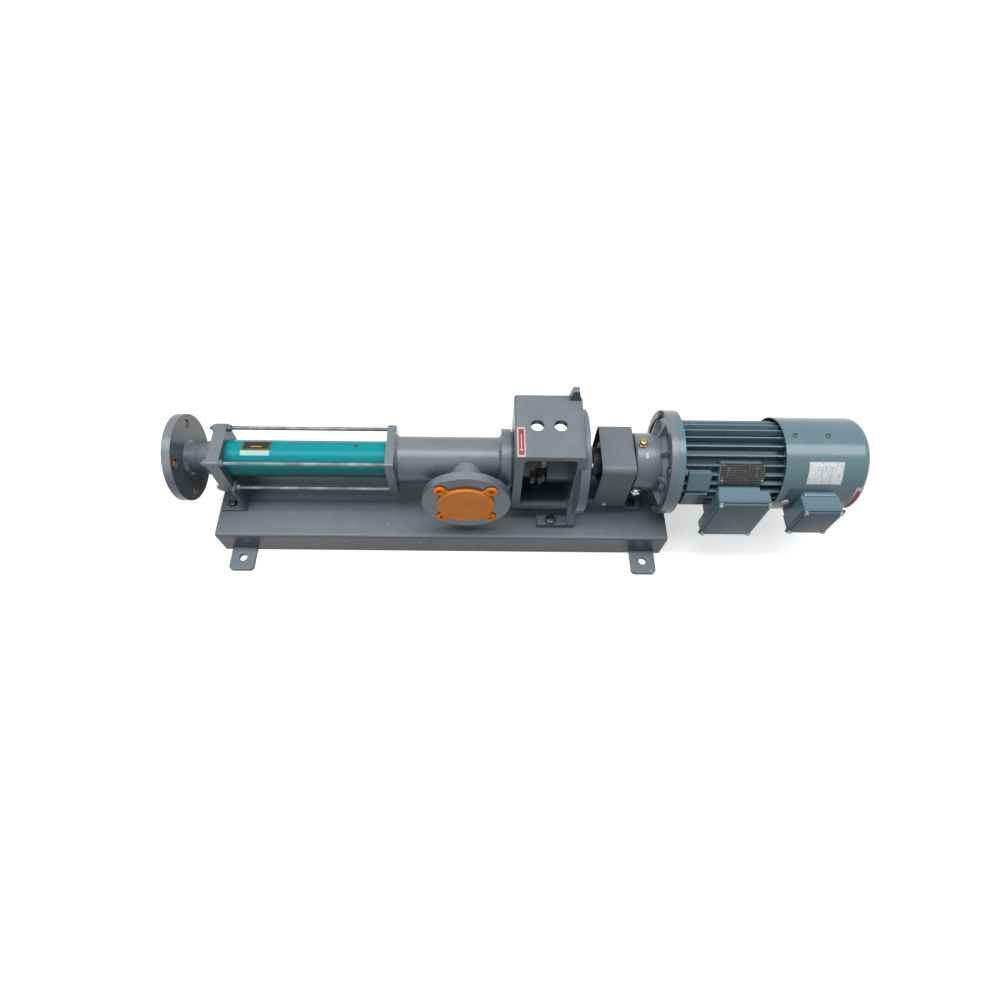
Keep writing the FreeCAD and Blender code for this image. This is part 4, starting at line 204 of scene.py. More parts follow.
class Nodes(Graph):
    # The nodes round a material's main shader
    def __init__(self, name):
        self.material = bpy.data.materials.new(name)
        super().__init__(self.material)
        self.shader = self.tree.nodes["Principled BSDF"]
        self.coords = self.add("ShaderNodeTexCoord").outputs["Object"]

    def noise(self, scale, detail=4.0, rough=0.55, stretch=(1, 1, 1)):
        place = self.add("ShaderNodeMapping")
        place.inputs["Scale"].default_value = stretch
        self.link(self.coords, place.inputs["Vector"])
        node = self.add("ShaderNodeTexNoise")
        node.inputs["Scale"].default_value = scale
        node.inputs["Detail"].default_value = detail
        node.inputs["Roughness"].default_value = rough
        self.link(place.outputs[0], node.inputs["Vector"])
        return node.outputs["Fac"]

    def mix(self, factor, first, second):
        node = self.add("ShaderNodeMix", data_type="RGBA")
        for index, value in ((0, factor), (6, first), (7, second)):
            self.put(value, node.inputs[index])
        return node.outputs[2]

    def softEdges(self, radius):
        soft = self.add("ShaderNodeBevel", samples=4)
        soft.inputs["Radius"].default_value = radius
        return soft.outputs[0]

    def edges(self, soft):
        # 0 on flat ground, rising towards outside and inside edges
        flat = self.add("ShaderNodeNewGeometry")
        dot = self.add("ShaderNodeVectorMath", operation="DOT_PRODUCT")
        self.link(soft, dot.inputs[0])
        self.link(flat.outputs["Normal"], dot.inputs[1])
        return self.ramp(dot.outputs["Value"], 0.995, 0.82)

    def upward(self):
        # 0 on steep faces, 1 on those that look up
        flat = self.add("ShaderNodeNewGeometry")
        split = self.add("ShaderNodeSeparateXYZ")
        self.link(flat.outputs["Normal"], split.inputs[0])
        return self.ramp(split.outputs["Z"], 0.35, 0.95)

    def fromAxis(self):
        # Distance from the pump's axis
        shift = self.add("ShaderNodeMapping")
        shift.inputs["Location"].default_value = (0, 0, -axisZ)
        shift.inputs["Scale"].default_value = (0, 1, 1)
        self.link(self.coords, shift.inputs["Vector"])
        length = self.add("ShaderNodeVectorMath", operation="LENGTH")
        self.link(shift.outputs[0], length.inputs[0])
        return length.outputs["Value"]

    def within(self, low, high, fade):
        # 1 inside a box, fading to 0 at its sides
        split = self.add("ShaderNodeSeparateXYZ")
        self.link(self.coords, split.inputs[0])
        share = 1.0
        for axis, start, end in zip("XYZ", low, high):
            rise = self.ramp(split.outputs[axis], start, start + fade)
            fall = self.ramp(split.outputs[axis], end - fade, end, 1.0, 0.0)
            share = self.math("MULTIPLY", share, self.math("MULTIPLY", rise, fall))
        return share

    def bump(self, height, strength, distance, soft=None):
        node = self.add("ShaderNodeBump")
        node.inputs["Strength"].default_value = strength
        node.inputs["Distance"].default_value = distance
        self.link(height, node.inputs["Height"])
        if soft:
            self.link(soft, node.inputs["Normal"])
        self.link(node.outputs[0], self.shader.inputs["Normal"])


# Noise scales and tones that all paints share
spray = {
    "cloud": 7.0, "patch": 38.0, "dust": 22.0, "wear": 70.0, "chips": 70.0, "grain": 260.0,
    "grainDepth": 0.3 * mm, "dustTone": colour(150, 150, 144), "chipTone": colour(190, 194, 194),
    # The last two tones are painted shade, for the bracket's hollow and for the gaps between the fins
    "hollowShadeTone": colour(56, 63, 70), "rootShadeTone": colour(34, 50, 56),
}


def paint(name, base, dark, pale, dust=0.25, rough=(0.24, 0.36), shine=0.36, edge=1.4 * mm,
          paintedTopLight=0.45, mottle=0.12, chips=False, inside=None, rootShade=None):
    # Sprayed paint: cloudy tone, scuffed edges with a painted highlight, settled dust, fine orange peel,
    # painted light on faces that look up and, if asked, painted shade in a hollow or between fins
    n = Nodes(name)
    base, dark, pale = (colour(*tone) for tone in (base, dark, pale))
    patch = n.noise(spray["patch"], 6, 0.65)
    tone = n.mix(n.ramp(n.noise(spray["cloud"], 5), 0.35, 0.68), dark, base)
    tone = n.mix(n.ramp(patch, 0.52, 0.75, 0.0, mottle), tone, pale)
    facingUp = n.upward()
    # Painted light: faces that look up are mixed towards the pale tone, as if lit from above
    tone = n.mix(n.math("MULTIPLY", facingUp, paintedTopLight), tone, pale)
    settled = n.ramp(n.noise(spray["dust"], 7, 0.7), 0.42, 0.7, 0.0, dust)
    tone = n.mix(n.math("MULTIPLY", facingUp, settled), tone, spray["dustTone"])
    soft = n.softEdges(edge)
    worn = n.ramp(n.noise(spray["wear"], 5), 0.4, 0.62, 0.15, 0.7)
    # Paler edges: partly scuffed paint, partly a painted highlight along the rims
    tone = n.mix(n.math("MULTIPLY", n.edges(soft), worn), tone, pale)
    if chips:
        chipped = n.ramp(n.noise(spray["chips"], 2, 0.4), 0.765, 0.775, 0.0, 0.6)
        tone = n.mix(chipped, tone, spray["chipTone"])
    # Painted shade: darker tone inside the given box, in the hollow where shade falls
    if inside:
        tone = n.mix(n.within(*inside), tone, spray["hollowShadeTone"])
    # Painted shade: the tone darkens near the axis, in the gaps between the fins
    if rootShade:
        tone = n.mix(n.ramp(n.fromAxis(), *rootShade, 0.85, 0.0), tone, spray["rootShadeTone"])
    n.link(tone, n.shader.inputs["Base Color"])
    n.link(n.ramp(patch, 0.3, 0.75, *rough), n.shader.inputs["Roughness"])
    n.shader.inputs["Specular IOR Level"].default_value = shine
    n.bump(n.noise(spray["grain"], 2), 0.06, spray["grainDepth"], soft)
    return n.material


def bareMetal(name, base, dark, rough=(0.22, 0.42), stretch=(1, 1, 1), scale=140.0):
    # Turned or plated metal: fine tool marks, dull patches
    n = Nodes(name)
    marks = n.noise(scale, 4, 0.6, stretch)
    tone = n.mix(n.ramp(n.noise(30.0, 5), 0.38, 0.68), colour(*dark), colour(*base))
    n.link(tone, n.shader.inputs["Base Color"])
    n.shader.inputs["Metallic"].default_value = 1.0
    n.link(n.ramp(marks, 0.3, 0.7, *rough), n.shader.inputs["Roughness"])
    n.bump(marks, 0.10, 0.2 * mm)
    return n.material


def softMatter(name, base, dark, rough=(0.55, 0.8), scale=90.0, height=0.3, shine=0.4):
    # Rubber, packing, moulded plastic
    n = Nodes(name)
    patch = n.noise(scale, 5)
    tone = n.mix(n.ramp(n.noise(9.0, 3), 0.35, 0.7), colour(*dark), colour(*base))
    n.link(tone, n.shader.inputs["Base Color"])
    n.link(n.ramp(patch, 0.3, 0.7, *rough), n.shader.inputs["Roughness"])
    n.shader.inputs["Specular IOR Level"].default_value = shine
    n.bump(patch, height, 0.3 * mm)
    return n.material


def foilMatter(name, base, dark, rough=(0.4, 0.6)):
    return softMatter(name, base, dark, rough, height=0.05)


# Shares of a row's height: its line takes the first, its bars stand above the second
rowShares = {"line": 0.16, "bars": 0.45}


def ruledPlate(name, base, ink, row, column, centre, turn, rough, share):
    # A printed form without words: ruled rows and short blank bars on a plain ground
    n = Nodes(name)
    shift = n.add("ShaderNodeVectorMath", operation="SUBTRACT")
    shift.inputs[1].default_value = centre
    n.link(n.coords, shift.inputs[0])
    level = n.add("ShaderNodeVectorRotate", rotation_type="X_AXIS")
    level.inputs["Angle"].default_value = -math.radians(turn)
    n.link(shift.outputs[0], level.inputs["Vector"])
    split = n.add("ShaderNodeSeparateXYZ")
    n.link(level.outputs[0], split.inputs[0])
    place = n.math("FRACT", n.math("MULTIPLY", n.math("ADD", split.outputs["Y"], 1.0), 1 / row))
    line = n.math("LESS_THAN", place, rowShares["line"])
    bars = n.math("GREATER_THAN", n.noise(1 / column, 1.0, 0.4, (1.0, 0.35, 0.0)), share)
    bars = n.math("MULTIPLY", n.math("GREATER_THAN", place, rowShares["bars"]), bars)
    worn = n.ramp(n.noise(240.0, 4), 0.3, 0.6, 0.5, 0.9)
    marks = n.math("MULTIPLY", n.math("MAXIMUM", line, bars), worn)
    tone = n.mix(marks, colour(*base), colour(*ink))
    tone = n.mix(n.ramp(n.noise(60.0, 5), 0.5, 0.8, 0.0, 0.25), tone, colour(130, 130, 124))
    n.link(tone, n.shader.inputs["Base Color"])
    n.link(n.ramp(n.noise(120.0, 4), 0.3, 0.7, rough - 0.1, rough + 0.1), n.shader.inputs["Roughness"])
    n.bump(marks, 0.2, 0.1 * mm)
    return n.material


# Two corners of the bracket's hollow, where shade is painted in as a darker tone, and the depth over
# which the tone changes
bracketShadedHollow = ((150 * mm, -72 * mm, 120 * mm), (283 * mm, 72 * mm, 301 * mm), 10 * mm)
finRoots = (75.5 * mm, 79 * mm)  # distances from the axis between which the painted shade in the fin gaps ends

materials = {
    "pump": paint("pumpPaint", (85, 95, 104), (76, 86, 95), (144, 155, 164), shine=0.6),
    "bracket": paint("bracketPaint", (91, 101, 111), (82, 92, 102), (141, 152, 161),
                     inside=bracketShadedHollow),
    # The base's wide edge radius widens its paler edges, part of which is a painted highlight
    "base": paint("basePaint", (82, 91, 97), (72, 81, 87), (150, 164, 173), dust=0.15,
                  rough=(0.28, 0.42), edge=6.0 * mm, paintedTopLight=0.42, chips=True),
    "guard": paint("guardPaint", (97, 104, 111), (87, 94, 101), (130, 140, 147), dust=0.08,
                   rough=(0.34, 0.48)),
    "stator": paint("statorTeal", (0, 120, 126), (0, 112, 119), (30, 194, 204), dust=0.0,
                    rough=(0.2, 0.27), shine=0.13, paintedTopLight=0.38, mottle=0.0),
    "motor": paint("motorPaint", (86, 116, 128), (77, 107, 119), (144, 173, 184), dust=0.03,
                   rough=(0.16, 0.24), shine=0.5, paintedTopLight=0.2, mottle=0.05),
    "fins": paint("finPaint", (90, 119, 131), (81, 110, 121), (142, 171, 182), dust=0.05,
                  rough=(0.24, 0.34), shine=0.26, paintedTopLight=0.42, rootShade=finRoots),
    # A darker copy of the motor paint: painted shade on the lids' front faces
    "lid": paint("lidShadedPaint", (64, 91, 103), (58, 84, 96), (124, 154, 166), dust=0.04,
                 rough=(0.3, 0.42), shine=0.3, paintedTopLight=0.2, mottle=0.05),
    "zinc": bareMetal("zincPlate", (176, 178, 181), (128, 130, 134)),
    "darkBolt": bareMetal("darkBolt", (104, 108, 112), (66, 70, 74), (0.35, 0.55)),
    "chrome": bareMetal("chrome", (176, 179, 184), (138, 141, 146), (0.14, 0.28), scale=60.0),
    "rod": bareMetal("rodSteel", (134, 138, 142), (98, 102, 106), (0.34, 0.5), stretch=(1, 6, 6)),
    "steel": bareMetal("turnedSteel", (150, 150, 148), (104, 102, 100), stretch=(14, 1, 1)),
    "stainless": bareMetal("stainless", (214, 214, 212), (180, 180, 178), (0.12, 0.28),
                           stretch=(14, 1, 1)),
    "iron": bareMetal("machinedIron", (78, 78, 80), (50, 50, 52), (0.4, 0.6)),
    "brass": bareMetal("brass", (184, 164, 120), (120, 100, 66), (0.2, 0.38)),
    "gold": bareMetal("goldFoil", (214, 178, 92), (176, 140, 66), (0.2, 0.35)),
    "core": softMatter("varnishedCore", (110, 84, 66), (70, 52, 44), (0.35, 0.6)),
    "rubber": softMatter("blackRubber", (38, 38, 40), (24, 24, 26)),
    "packing": softMatter("braidedPacking", (150, 140, 118), (96, 90, 78), scale=420.0, height=0.8),
    "spider": softMatter("redSpider", (176, 52, 38), (140, 36, 28), (0.35, 0.5)),
    "orange": softMatter("orangeCap", (255, 152, 38), (246, 138, 28), (0.36, 0.5), height=0.12,
                         shine=0.2),
    "fan": softMatter("blackFan", (42, 43, 46), (26, 27, 30), (0.4, 0.6)),
    "palePlug": softMatter("palePlug", (214, 222, 226), (190, 198, 202), (0.3, 0.45), height=0.1),
    "labelWhite": foilMatter("labelPaper", (208, 210, 212), (188, 190, 192)),
    "labelRed": foilMatter("labelRed", (176, 62, 72), (158, 50, 60)),
    "blackPlate": foilMatter("blackFoil", (34, 42, 40), (20, 26, 26), (0.25, 0.4)),
    "paleStrip": foilMatter("paleFoil", (176, 214, 200), (140, 192, 184), (0.2, 0.35)),
    "formPlate": ruledPlate("formPlate", (26, 28, 29), (120, 120, 116), 5.0 * mm, 6 * mm,
                            (0.616, -0.0677, 0.2489), 48, rough=0.45, share=0.61),
    "whiteForm": ruledPlate("whiteForm", (226, 230, 232), (150, 157, 163), 4.6 * mm, 5 * mm,
                            (0.781, -0.0712, 0.2555), 46.5, rough=0.5, share=0.58),
}

finish = {
    "pump": ["discharge_body", "suction_casing", "bearing_cover", "reducer_housing", "adapter_flange",
             "discharge_support"],
    "bracket": ["bearing_bracket", "stuffing_box"],
    "base": ["base_channel", "foot_tabs"],
    "guard": ["coupling_guard", "guard_brackets"],
    "stator": ["stator_tube"],
    "fins": ["motor_frame"],
    "motor": ["motor_front_shield", "motor_rear_shield", "fan_cowl", "fan_motor",
              "terminal_box", "terminal_box_lid", "fan_terminal_box", "fan_box_lid"],
    "rod": ["tie_rods"],
    "zinc": ["base_bolts", "tie_rod_nuts", "drain_plug", "box_screws", "gland_studs",
             "cover_screws", "guard_screws", "level_plug", "flange_bolts", "cowl_screws"],
    "steel": ["bearing_outer_rings", "bearing_inner_rings", "bearing_rollers", "bearing_spacer",
              "drive_shaft", "reducer_shaft", "motor_shaft"],
    "stainless": ["rotor", "rotor_pin", "drive_pin", "coupling_rod"],
    "iron": ["gland", "pump_coupling_hub", "reducer_coupling_hub"],
    "brass": ["grease_nipple", "breather_plug"],
    "core": ["motor_stator_core", "motor_rotor_core"],
    "rubber": ["stator_lining", "joint_sleeves", "lip_seal"],
    "packing": ["packing_rings"],
    "spider": ["coupling_spider"],
    "orange": ["suction_cap", "discharge_cap"],
    "fan": ["cooling_fan"],
}


def dressNodes():
    left = set(nodes)
    for key, names in finish.items():
        for name in names:
            if name in nodes:
                mesh = nodes[name].data
                mesh.materials.clear()
                mesh.materials.append(materials[key])
                left.discard(name)
    print("nodes without a finish:", sorted(left))


# Ways of shaping that several pieces share; shapes are made standing on the ground at the centre
def turned(profile, steps=32):
    # A profile of (radius, height) points spun round the upright axis
    bm = bmesh.new()
    line = [bm.verts.new((radius, 0, height)) for radius, height in profile]
    edges = [bm.edges.new(pair) for pair in zip(line, line[1:])]
    bmesh.ops.spin(bm, geom=line + edges, cent=(0, 0, 0), axis=(0, 0, 1), angle=math.tau,
                   steps=steps, use_merge=True)
    closeUp(bm)
    return bm


def turnedMm(profile, steps):
    return turned([(radius * mm, height * mm) for radius, height in profile], steps)


def closeUp(bm):
    bmesh.ops.remove_doubles(bm, verts=bm.verts, dist=1e-6)
    bmesh.ops.recalc_face_normals(bm, faces=bm.faces)


def plate(width, depth, height, edge, corner=0.0, edgeSteps=2, cornerSteps=5):
    # A flat plate with softened top edges and, if asked, round corners
    bm = bmesh.new()
    bmesh.ops.create_cube(bm, size=1)
    bmesh.ops.scale(bm, vec=(width, depth, height), verts=bm.verts)
    bmesh.ops.translate(bm, vec=(0, 0, height / 2), verts=bm.verts)
    if corner:
        uprights = [e for e in bm.edges if abs(e.verts[0].co.z - e.verts[1].co.z) > height / 2]
        bmesh.ops.bevel(bm, geom=uprights, offset=corner, affect="EDGES", segments=cornerSteps,
                        profile=0.5, material=-1)
    rims = [e for e in bm.edges if min(v.co.z for v in e.verts) > height * 0.9]
    bmesh.ops.bevel(bm, geom=rims, offset=edge, affect="EDGES", segments=edgeSteps, profile=0.5,
                    material=-1)
    closeUp(bm)
    return bm


def stand(place, way, corner=(0, 0, 1)):
    # The turn that takes a shape to its place: its top looks along way, its Y side along corner
    up = Vector(way).normalized()
    side = Vector(corner) - up * Vector(corner).dot(up)
    side.normalize()
    return Matrix.Translation(place) @ Matrix((side.cross(up), side, up)).transposed().to_4x4()


def cut(bm, place, way, clear=False):
    # Cuts all faces along a plane and, if asked, drops what lies beyond it
    geom = bm.verts[:] + bm.edges[:] + bm.faces[:]
    return bmesh.ops.bisect_plane(bm, geom=geom, plane_co=place, plane_no=way, clear_outer=clear,
                                  dist=1e-7)["geom_cut"]


def add(bm, shape, matrix):
    bmesh.ops.transform(shape, matrix=matrix, verts=shape.verts)
    mesh = bpy.data.meshes.new("loose")
    shape.to_mesh(mesh)
    shape.free()
    bm.from_mesh(mesh)
    bpy.data.meshes.remove(mesh)


def finished(name, bm, material, body="frame", replaced=(), smooth=38):
    item = meshObject(name, bm)
    item.data.materials.append(materials[material])
    item.data.shade_smooth()
    item.data.set_sharp_from_angle(angle=math.radians(smooth))
    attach(item, body)
    if replaced:
        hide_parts(*replaced)


def roundAxis(x, radius, angle):
    # A place round the pump's axis; angle 0 is the top and 90 the front
    turn = math.radians(angle)
    return Vector((x, -radius * math.sin(turn), axisZ + radius * math.cos(turn)))


def outward(angle):
    return roundAxis(0, 1, angle) - Vector((0, 0, axisZ))


def solidsOf(node):
    # The box round each separate solid of a node
    bm = bmesh.new()
    bm.from_mesh(nodes[node].data)
    bmesh.ops.remove_doubles(bm, verts=bm.verts, dist=1e-6)
    left = set(bm.verts)
    found = []
    while left:
        queue = [left.pop()]
        group = queue[:]
        while queue:
            near = {v for edge in queue.pop().link_edges for v in edge.verts} & left
            left -= near
            queue.extend(near)
            group.extend(near)
        low = Vector([min(v.co[i] for v in group) for i in range(3)])
        high = Vector([max(v.co[i] for v in group) for i in range(3)])
        found.append((low, high))
    bm.free()
    return sorted(found, key=lambda pair: tuple(pair[0]))


# Bolts, nuts and studs
threads = {
    "acrossCorners": 1.9,  # width of a hexagon, in thread diameters like the rest
    "headHeight": 0.65,
    "nutBore": 0.51,
    "washerHole": 0.53,
    "washerHeight": 0.16,
    "pitch": 0.155,
    "depth": 0.085,
    "washerWidth": 1.08,  # in widths of the hexagon
    "chamfer": 0.1,  # in half widths of the hexagon
    "flatShare": 0.97,
    "steps": 36,
}

# How the solids of one node are told apart, in metres
parting = {
    "plateFace": -0.46,  # tie rod nuts left of it are outside the discharge plate
    "guardEnd": 0.33,  # guard screws left of it point along the axis
    "nutHeight": 0.01,  # shorter solids are nuts
}


def hexagon(corner, height, bore=0.0):
    # A turned blank with chamfered ends, cut to six flats
    flat = corner * math.cos(math.pi / 6)
    face = flat * threads["flatShare"]
    chamfer = corner * threads["chamfer"]
    profile = [(bore, 0), (face, 0), (corner, chamfer), (corner, height - chamfer), (face, height),
               (bore, height)]
    bm = turned(profile + ([(bore, 0)] if bore else []), threads["steps"])
    for number in range(6):
        way = Matrix.Rotation(math.radians(30 + 60 * number), 3, "Z") @ Vector((0, 1, 0))
        rim = cut(bm, way * flat, way, clear=True)
        rim = [item for item in rim if isinstance(item, bmesh.types.BMEdge)]
        bmesh.ops.holes_fill(bm, edges=rim, sides=0)
    closeUp(bm)
    return bm


def thread(radius, length):
    inner = radius - radius * 2 * threads["depth"]
    count = max(2, int(length / (radius * 2 * threads["pitch"])))
    step = length / count
    profile = [(0, 0), (inner, 0)]
    for number in range(count):
        profile += [(radius, step * (number + 0.4)), (radius, step * (number + 0.6)),
                    (inner, step * (number + 1))]
    return turned(profile + [(0, length)], 24)


def fastener(bm, kind, low, high, way, corner):
    # A nut, bolt or stud in the box of the solid that it stands for
    way, corner = Vector(way), Vector(corner)
    reach = abs((high - low).dot(way))
    across = abs((high - low).dot(corner))
    tip = (low + high) / 2 + way * reach / 2
    if kind == "stud":
        add(bm, thread(across / 2, reach), stand(tip - way * reach, way, corner))
        return
    size = across / threads["acrossCorners"]
    height = reach if kind == "nut" else size * threads["headHeight"]
    washer = size * threads["washerHeight"]
    seat = tip - way * height
    bore = size * threads["nutBore"] if kind == "nut" else 0.0
    add(bm, hexagon(across / 2, height - washer, bore), stand(seat + way * washer, way, corner))
    hole, wide = size * threads["washerHole"], across / 2 * threads["washerWidth"]
    ring = [(hole, 0), (wide, 0), (wide, washer * 0.7), (wide - washer * 0.3, washer), (hole, washer),
            (hole, 0)]
    add(bm, turned(ring, 32), stand(seat, way, corner))
    if kind == "bolt":
        long = reach - height
        add(bm, thread(size / 2, long), stand(seat - way * long, way, corner))


def baseBoltRule(low, high):
    return "bolt", low, high, (0, 0, 1), (1, 0, 0)


def rodNutRule(low, high):
    return "nut", low, high, (-1 if high.x < parting["plateFace"] else 1, 0, 0), (0, 0, 1)


def rightScrewRule(low, high):
    return "bolt", low, high, (1, 0, 0), (0, 0, 1)


def guardScrewRule(low, high):
    if high.x < parting["guardEnd"]:
        return rightScrewRule(low, high)
    return "bolt", low, high, (0, -1 if low.y < 0 else 1, 0), (1, 0, 0)


def flangeBoltRule(low, high):
    if high.x - low.x < parting["nutHeight"]:
        return "nut", low, high, (1, 0, 0), (0, 0, 1)
    return "bolt", low, high, (-1, 0, 0), (0, 0, 1)


def glandRule(low, high):
    kind = "nut" if high.x - low.x < parting["nutHeight"] else "stud"
    return kind, low, high, (1, 0, 0), (0, 0, 1)


# Piece name: the node it replaces, its rule and its material
fastenerSets = {
    "baseBolts": ("base_bolts", baseBoltRule, "darkBolt"),
    "boxScrews": ("box_screws", rightScrewRule, "zinc"),
    "coverScrews": ("cover_screws", rightScrewRule, "zinc"),
    "guardScrews": ("guard_screws", guardScrewRule, "zinc"),
    "flangeBolts": ("flange_bolts", flangeBoltRule, "darkBolt"),
    "glandStuds": ("gland_studs", glandRule, "darkBolt"),
}


def addFasteners():
    for name, (node, rule, material) in fastenerSets.items():
        bm = bmesh.new()
        for low, high in solidsOf(node):
            fastener(bm, *rule(low, high))
        finished(name, bm, material, replaced=[node])
    # The outer nuts of the tie rods and the upper inner ones were sprayed with the plate
    for name, material, painted in (("rodNutsPainted", "pump", True), ("rodNutsBright", "zinc", False)):
        bm = bmesh.new()
        for low, high in solidsOf("tie_rod_nuts"):
            if (high.x < parting["plateFace"] or low.z > axisZ) == painted:
                fastener(bm, *rodNutRule(low, high))
        finished(name, bm, material, replaced=["tie_rod_nuts"])


rods = {"radius": 4.06 * mm, "threads": ((-491, -479), (-453, -414))}


def addRodThreads():
    # Cut threads on both sides of the discharge plate, standing just proud of the plain rod
    bm = bmesh.new()
    for low, high in solidsOf("tie_rods"):
        middle = (low + high) / 2
        for span in rods["threads"]:
            start, end = (value * mm for value in span)
            add(bm, thread(rods["radius"], end - start), stand((start, middle.y, middle.z), (1, 0, 0)))
    finished("rodThreads", bm, "darkBolt")


# Plastic covers pushed on the two ports, with hollow pegs in the bolt holes
cap = {
    "radius": 59 * mm, "thick": 4.2 * mm, "rim": 7 * mm,
    "earCircle": 72.5 * mm, "earRadius": 13.0 * mm, "neck": (20 * mm, 22 * mm),
    "pegRadius": 8.3 * mm, "pegHole": 5.6 * mm, "pegReach": 16.5 * mm,
}

# Piece name: node and body, the middle of the flange's face, and the way it looks
ports = {
    "suctionCover": ("suction_cap", (55 * mm, -110 * mm, axisZ), (0, -1, 0)),
    "dischargeCover": ("discharge_cap", (-558 * mm, 0, axisZ), (-1, 0, 0)),
}


def capShape():
    bm = bmesh.new()
    r, t, rim = cap["radius"], cap["thick"], cap["rim"]
    dish = [(0, 0), (r - 0.6 * mm, 0), (r, 0.6 * mm), (r, rim - 2.6 * mm),
            (r - 0.7 * mm, rim - 0.9 * mm), (r - 2.2 * mm, rim - 0.1 * mm),
            (r - 3.4 * mm, rim - 0.1 * mm), (r - 5.4 * mm, rim - 0.9 * mm),
            (r * 0.6, rim - 0.7 * mm), (0, rim - 0.5 * mm)]
    add(bm, turned(dish, 96), Matrix())
    ear, peg, hole, deep = cap["earRadius"], cap["pegRadius"], cap["pegHole"], cap["pegReach"]
    lug = [(0, -deep), (peg - 3 * mm, -deep + 0.6 * mm), (peg - 0.9 * mm, -deep + 3 * mm), (peg, 0),
           (ear - 0.5 * mm, 0), (ear, 0.5 * mm), (ear, t - 0.6 * mm), (ear - 0.6 * mm, t),
           (ear - 1.4 * mm, t), (ear - 2.2 * mm, t + 0.9 * mm), (ear - 5.4 * mm, t + 0.9 * mm),
           (hole + 1 * mm, t + 0.2 * mm), (hole, t - 1 * mm), (hole - 0.8 * mm, 3 * mm - deep),
           (0, 2.4 * mm - deep)]
    for number in range(4):
        turn = Matrix.Rotation(math.radians(45 + 90 * number), 4, "Z")
        add(bm, turned(lug, 40), turn @ Matrix.Translation((cap["earCircle"], 0, 0)))
        web = plate(*cap["neck"], t - 0.2 * mm, 0.8 * mm)
        add(bm, web, turn @ Matrix.Translation((r + 1 * mm, 0, 0.1 * mm)))
    return bm


def addCaps():
    for name, (node, place, way) in ports.items():
        bm = bmesh.new()
        add(bm, capShape(), stand(place, way))
        finished(name, bm, "orange", node, [node], smooth=50)


# Oil fittings of the reducer and the bearing's grease nipple: a hexagon and a turned body, in mm
fittings = {
    "levelPlug": {
        "node": "level_plug", "place": (417, -62.1, 170), "way": (0, -1, 0), "hexagon": (11.5, 4.2),
        "body": [(0, -12), (6, -12), (6, 0), (9.4, 0), (9.4, 5.89), (8.6, 7.6), (6.6, 8.835),
                 (3.4, 9.5), (0, 9.69)],
        "steps": 40, "material": "chrome", "slot": "zinc",
    },
    "breather": {
        "node": "breather_plug", "place": (420, 0, 249.6), "way": (0, 0, 1), "hexagon": (9.6, 5.6),
        "body": [(0, -4), (6, -4), (6, 5), (5.2, 6), (5.2, 7.6), (7.4, 8.2), (7.8, 9), (7.8, 12.4),
                 (7, 13.8), (4.6, 14.6), (1.6, 14.8), (1.4, 13.6), (0, 13.6)],
        "steps": 40, "material": "brass", "slot": "brass",
    },
    "greaseNipple": {
        "node": "grease_nipple", "place": (310, 0, 240), "way": (0, 0, 1), "hexagon": (4.6, 3.4),
        "body": [(0, -1), (2.6, -1), (2.6, 4), (2.1, 5), (2.1, 6.6), (3, 7.6), (3.1, 8.6), (2.4, 9.8),
                 (1, 10.4), (0.8, 9.8), (0, 9.8)],
        "steps": 28, "material": "brass", "slot": "brass",
    },
}

drain = {"head": 6 * mm, "threadRadius": 9 * mm, "threadLength": 12 * mm}


def addFittings():
    for name, values in fittings.items():
        turn = stand(Vector(values["place"]) * mm, values["way"], (1, 0, 0))
        radius, height = values["hexagon"]
        bm = bmesh.new()
        add(bm, hexagon(radius * mm, height * mm), turn)
        add(bm, turnedMm(values["body"], values["steps"]), turn)
        finished(name, bm, values["material"], replaced=[values["node"]])

    low, high = solidsOf("drain_plug")[0]
    place = Vector(((low.x + high.x) / 2, 0, low.z + drain["head"]))
    bm = bmesh.new()
    add(bm, hexagon((high.x - low.x) / 2, drain["head"]), stand(place, (0, 0, -1), (1, 0, 0)))
    add(bm, thread(drain["threadRadius"], drain["threadLength"]), stand(place, (0, 0, 1), (1, 0, 0)))
    finished("drainPlug", bm, "zinc", replaced=["drain_plug"])


# Cast lids: a flat rim, then a raised tray with sloping sides
lid = {
    "flange": 3.6 * mm, "edge": 0.9 * mm, "corner": 4.0 * mm,
    "step": 5.0 * mm, "slope": 4.5 * mm, "trayCorner": 6 * mm,
}


def addLids():
    for name, node in (("terminalLid", "terminal_box_lid"), ("fanLid", "fan_box_lid")):
        low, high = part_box(node)
        width, depth, tall = high.x - low.x, high.y - low.y, high.z - low.z
        turn = stand(Vector(((low.x + high.x) / 2, high.y, (low.z + high.z) / 2)), (0, -1, 0))
        bm = bmesh.new()
        add(bm, plate(width, tall, lid["flange"], lid["edge"], lid["corner"]), turn)
        tray = plate(width - lid["step"] * 2, tall - lid["step"] * 2, depth, lid["slope"],
                     lid["trayCorner"], edgeSteps=3, cornerSteps=4)
        add(bm, tray, turn)
        finished(name, bm, "lid", replaced=[node], smooth=24)


# The pad between the fan's box and the round cowl, bent to the cowl's outside
saddle = {"x": (747, 815), "y": (-86, -102), "z": (136, 219), "edge": 1.6, "corner": 3.0, "seat": 98.1,
          "levels": 12}


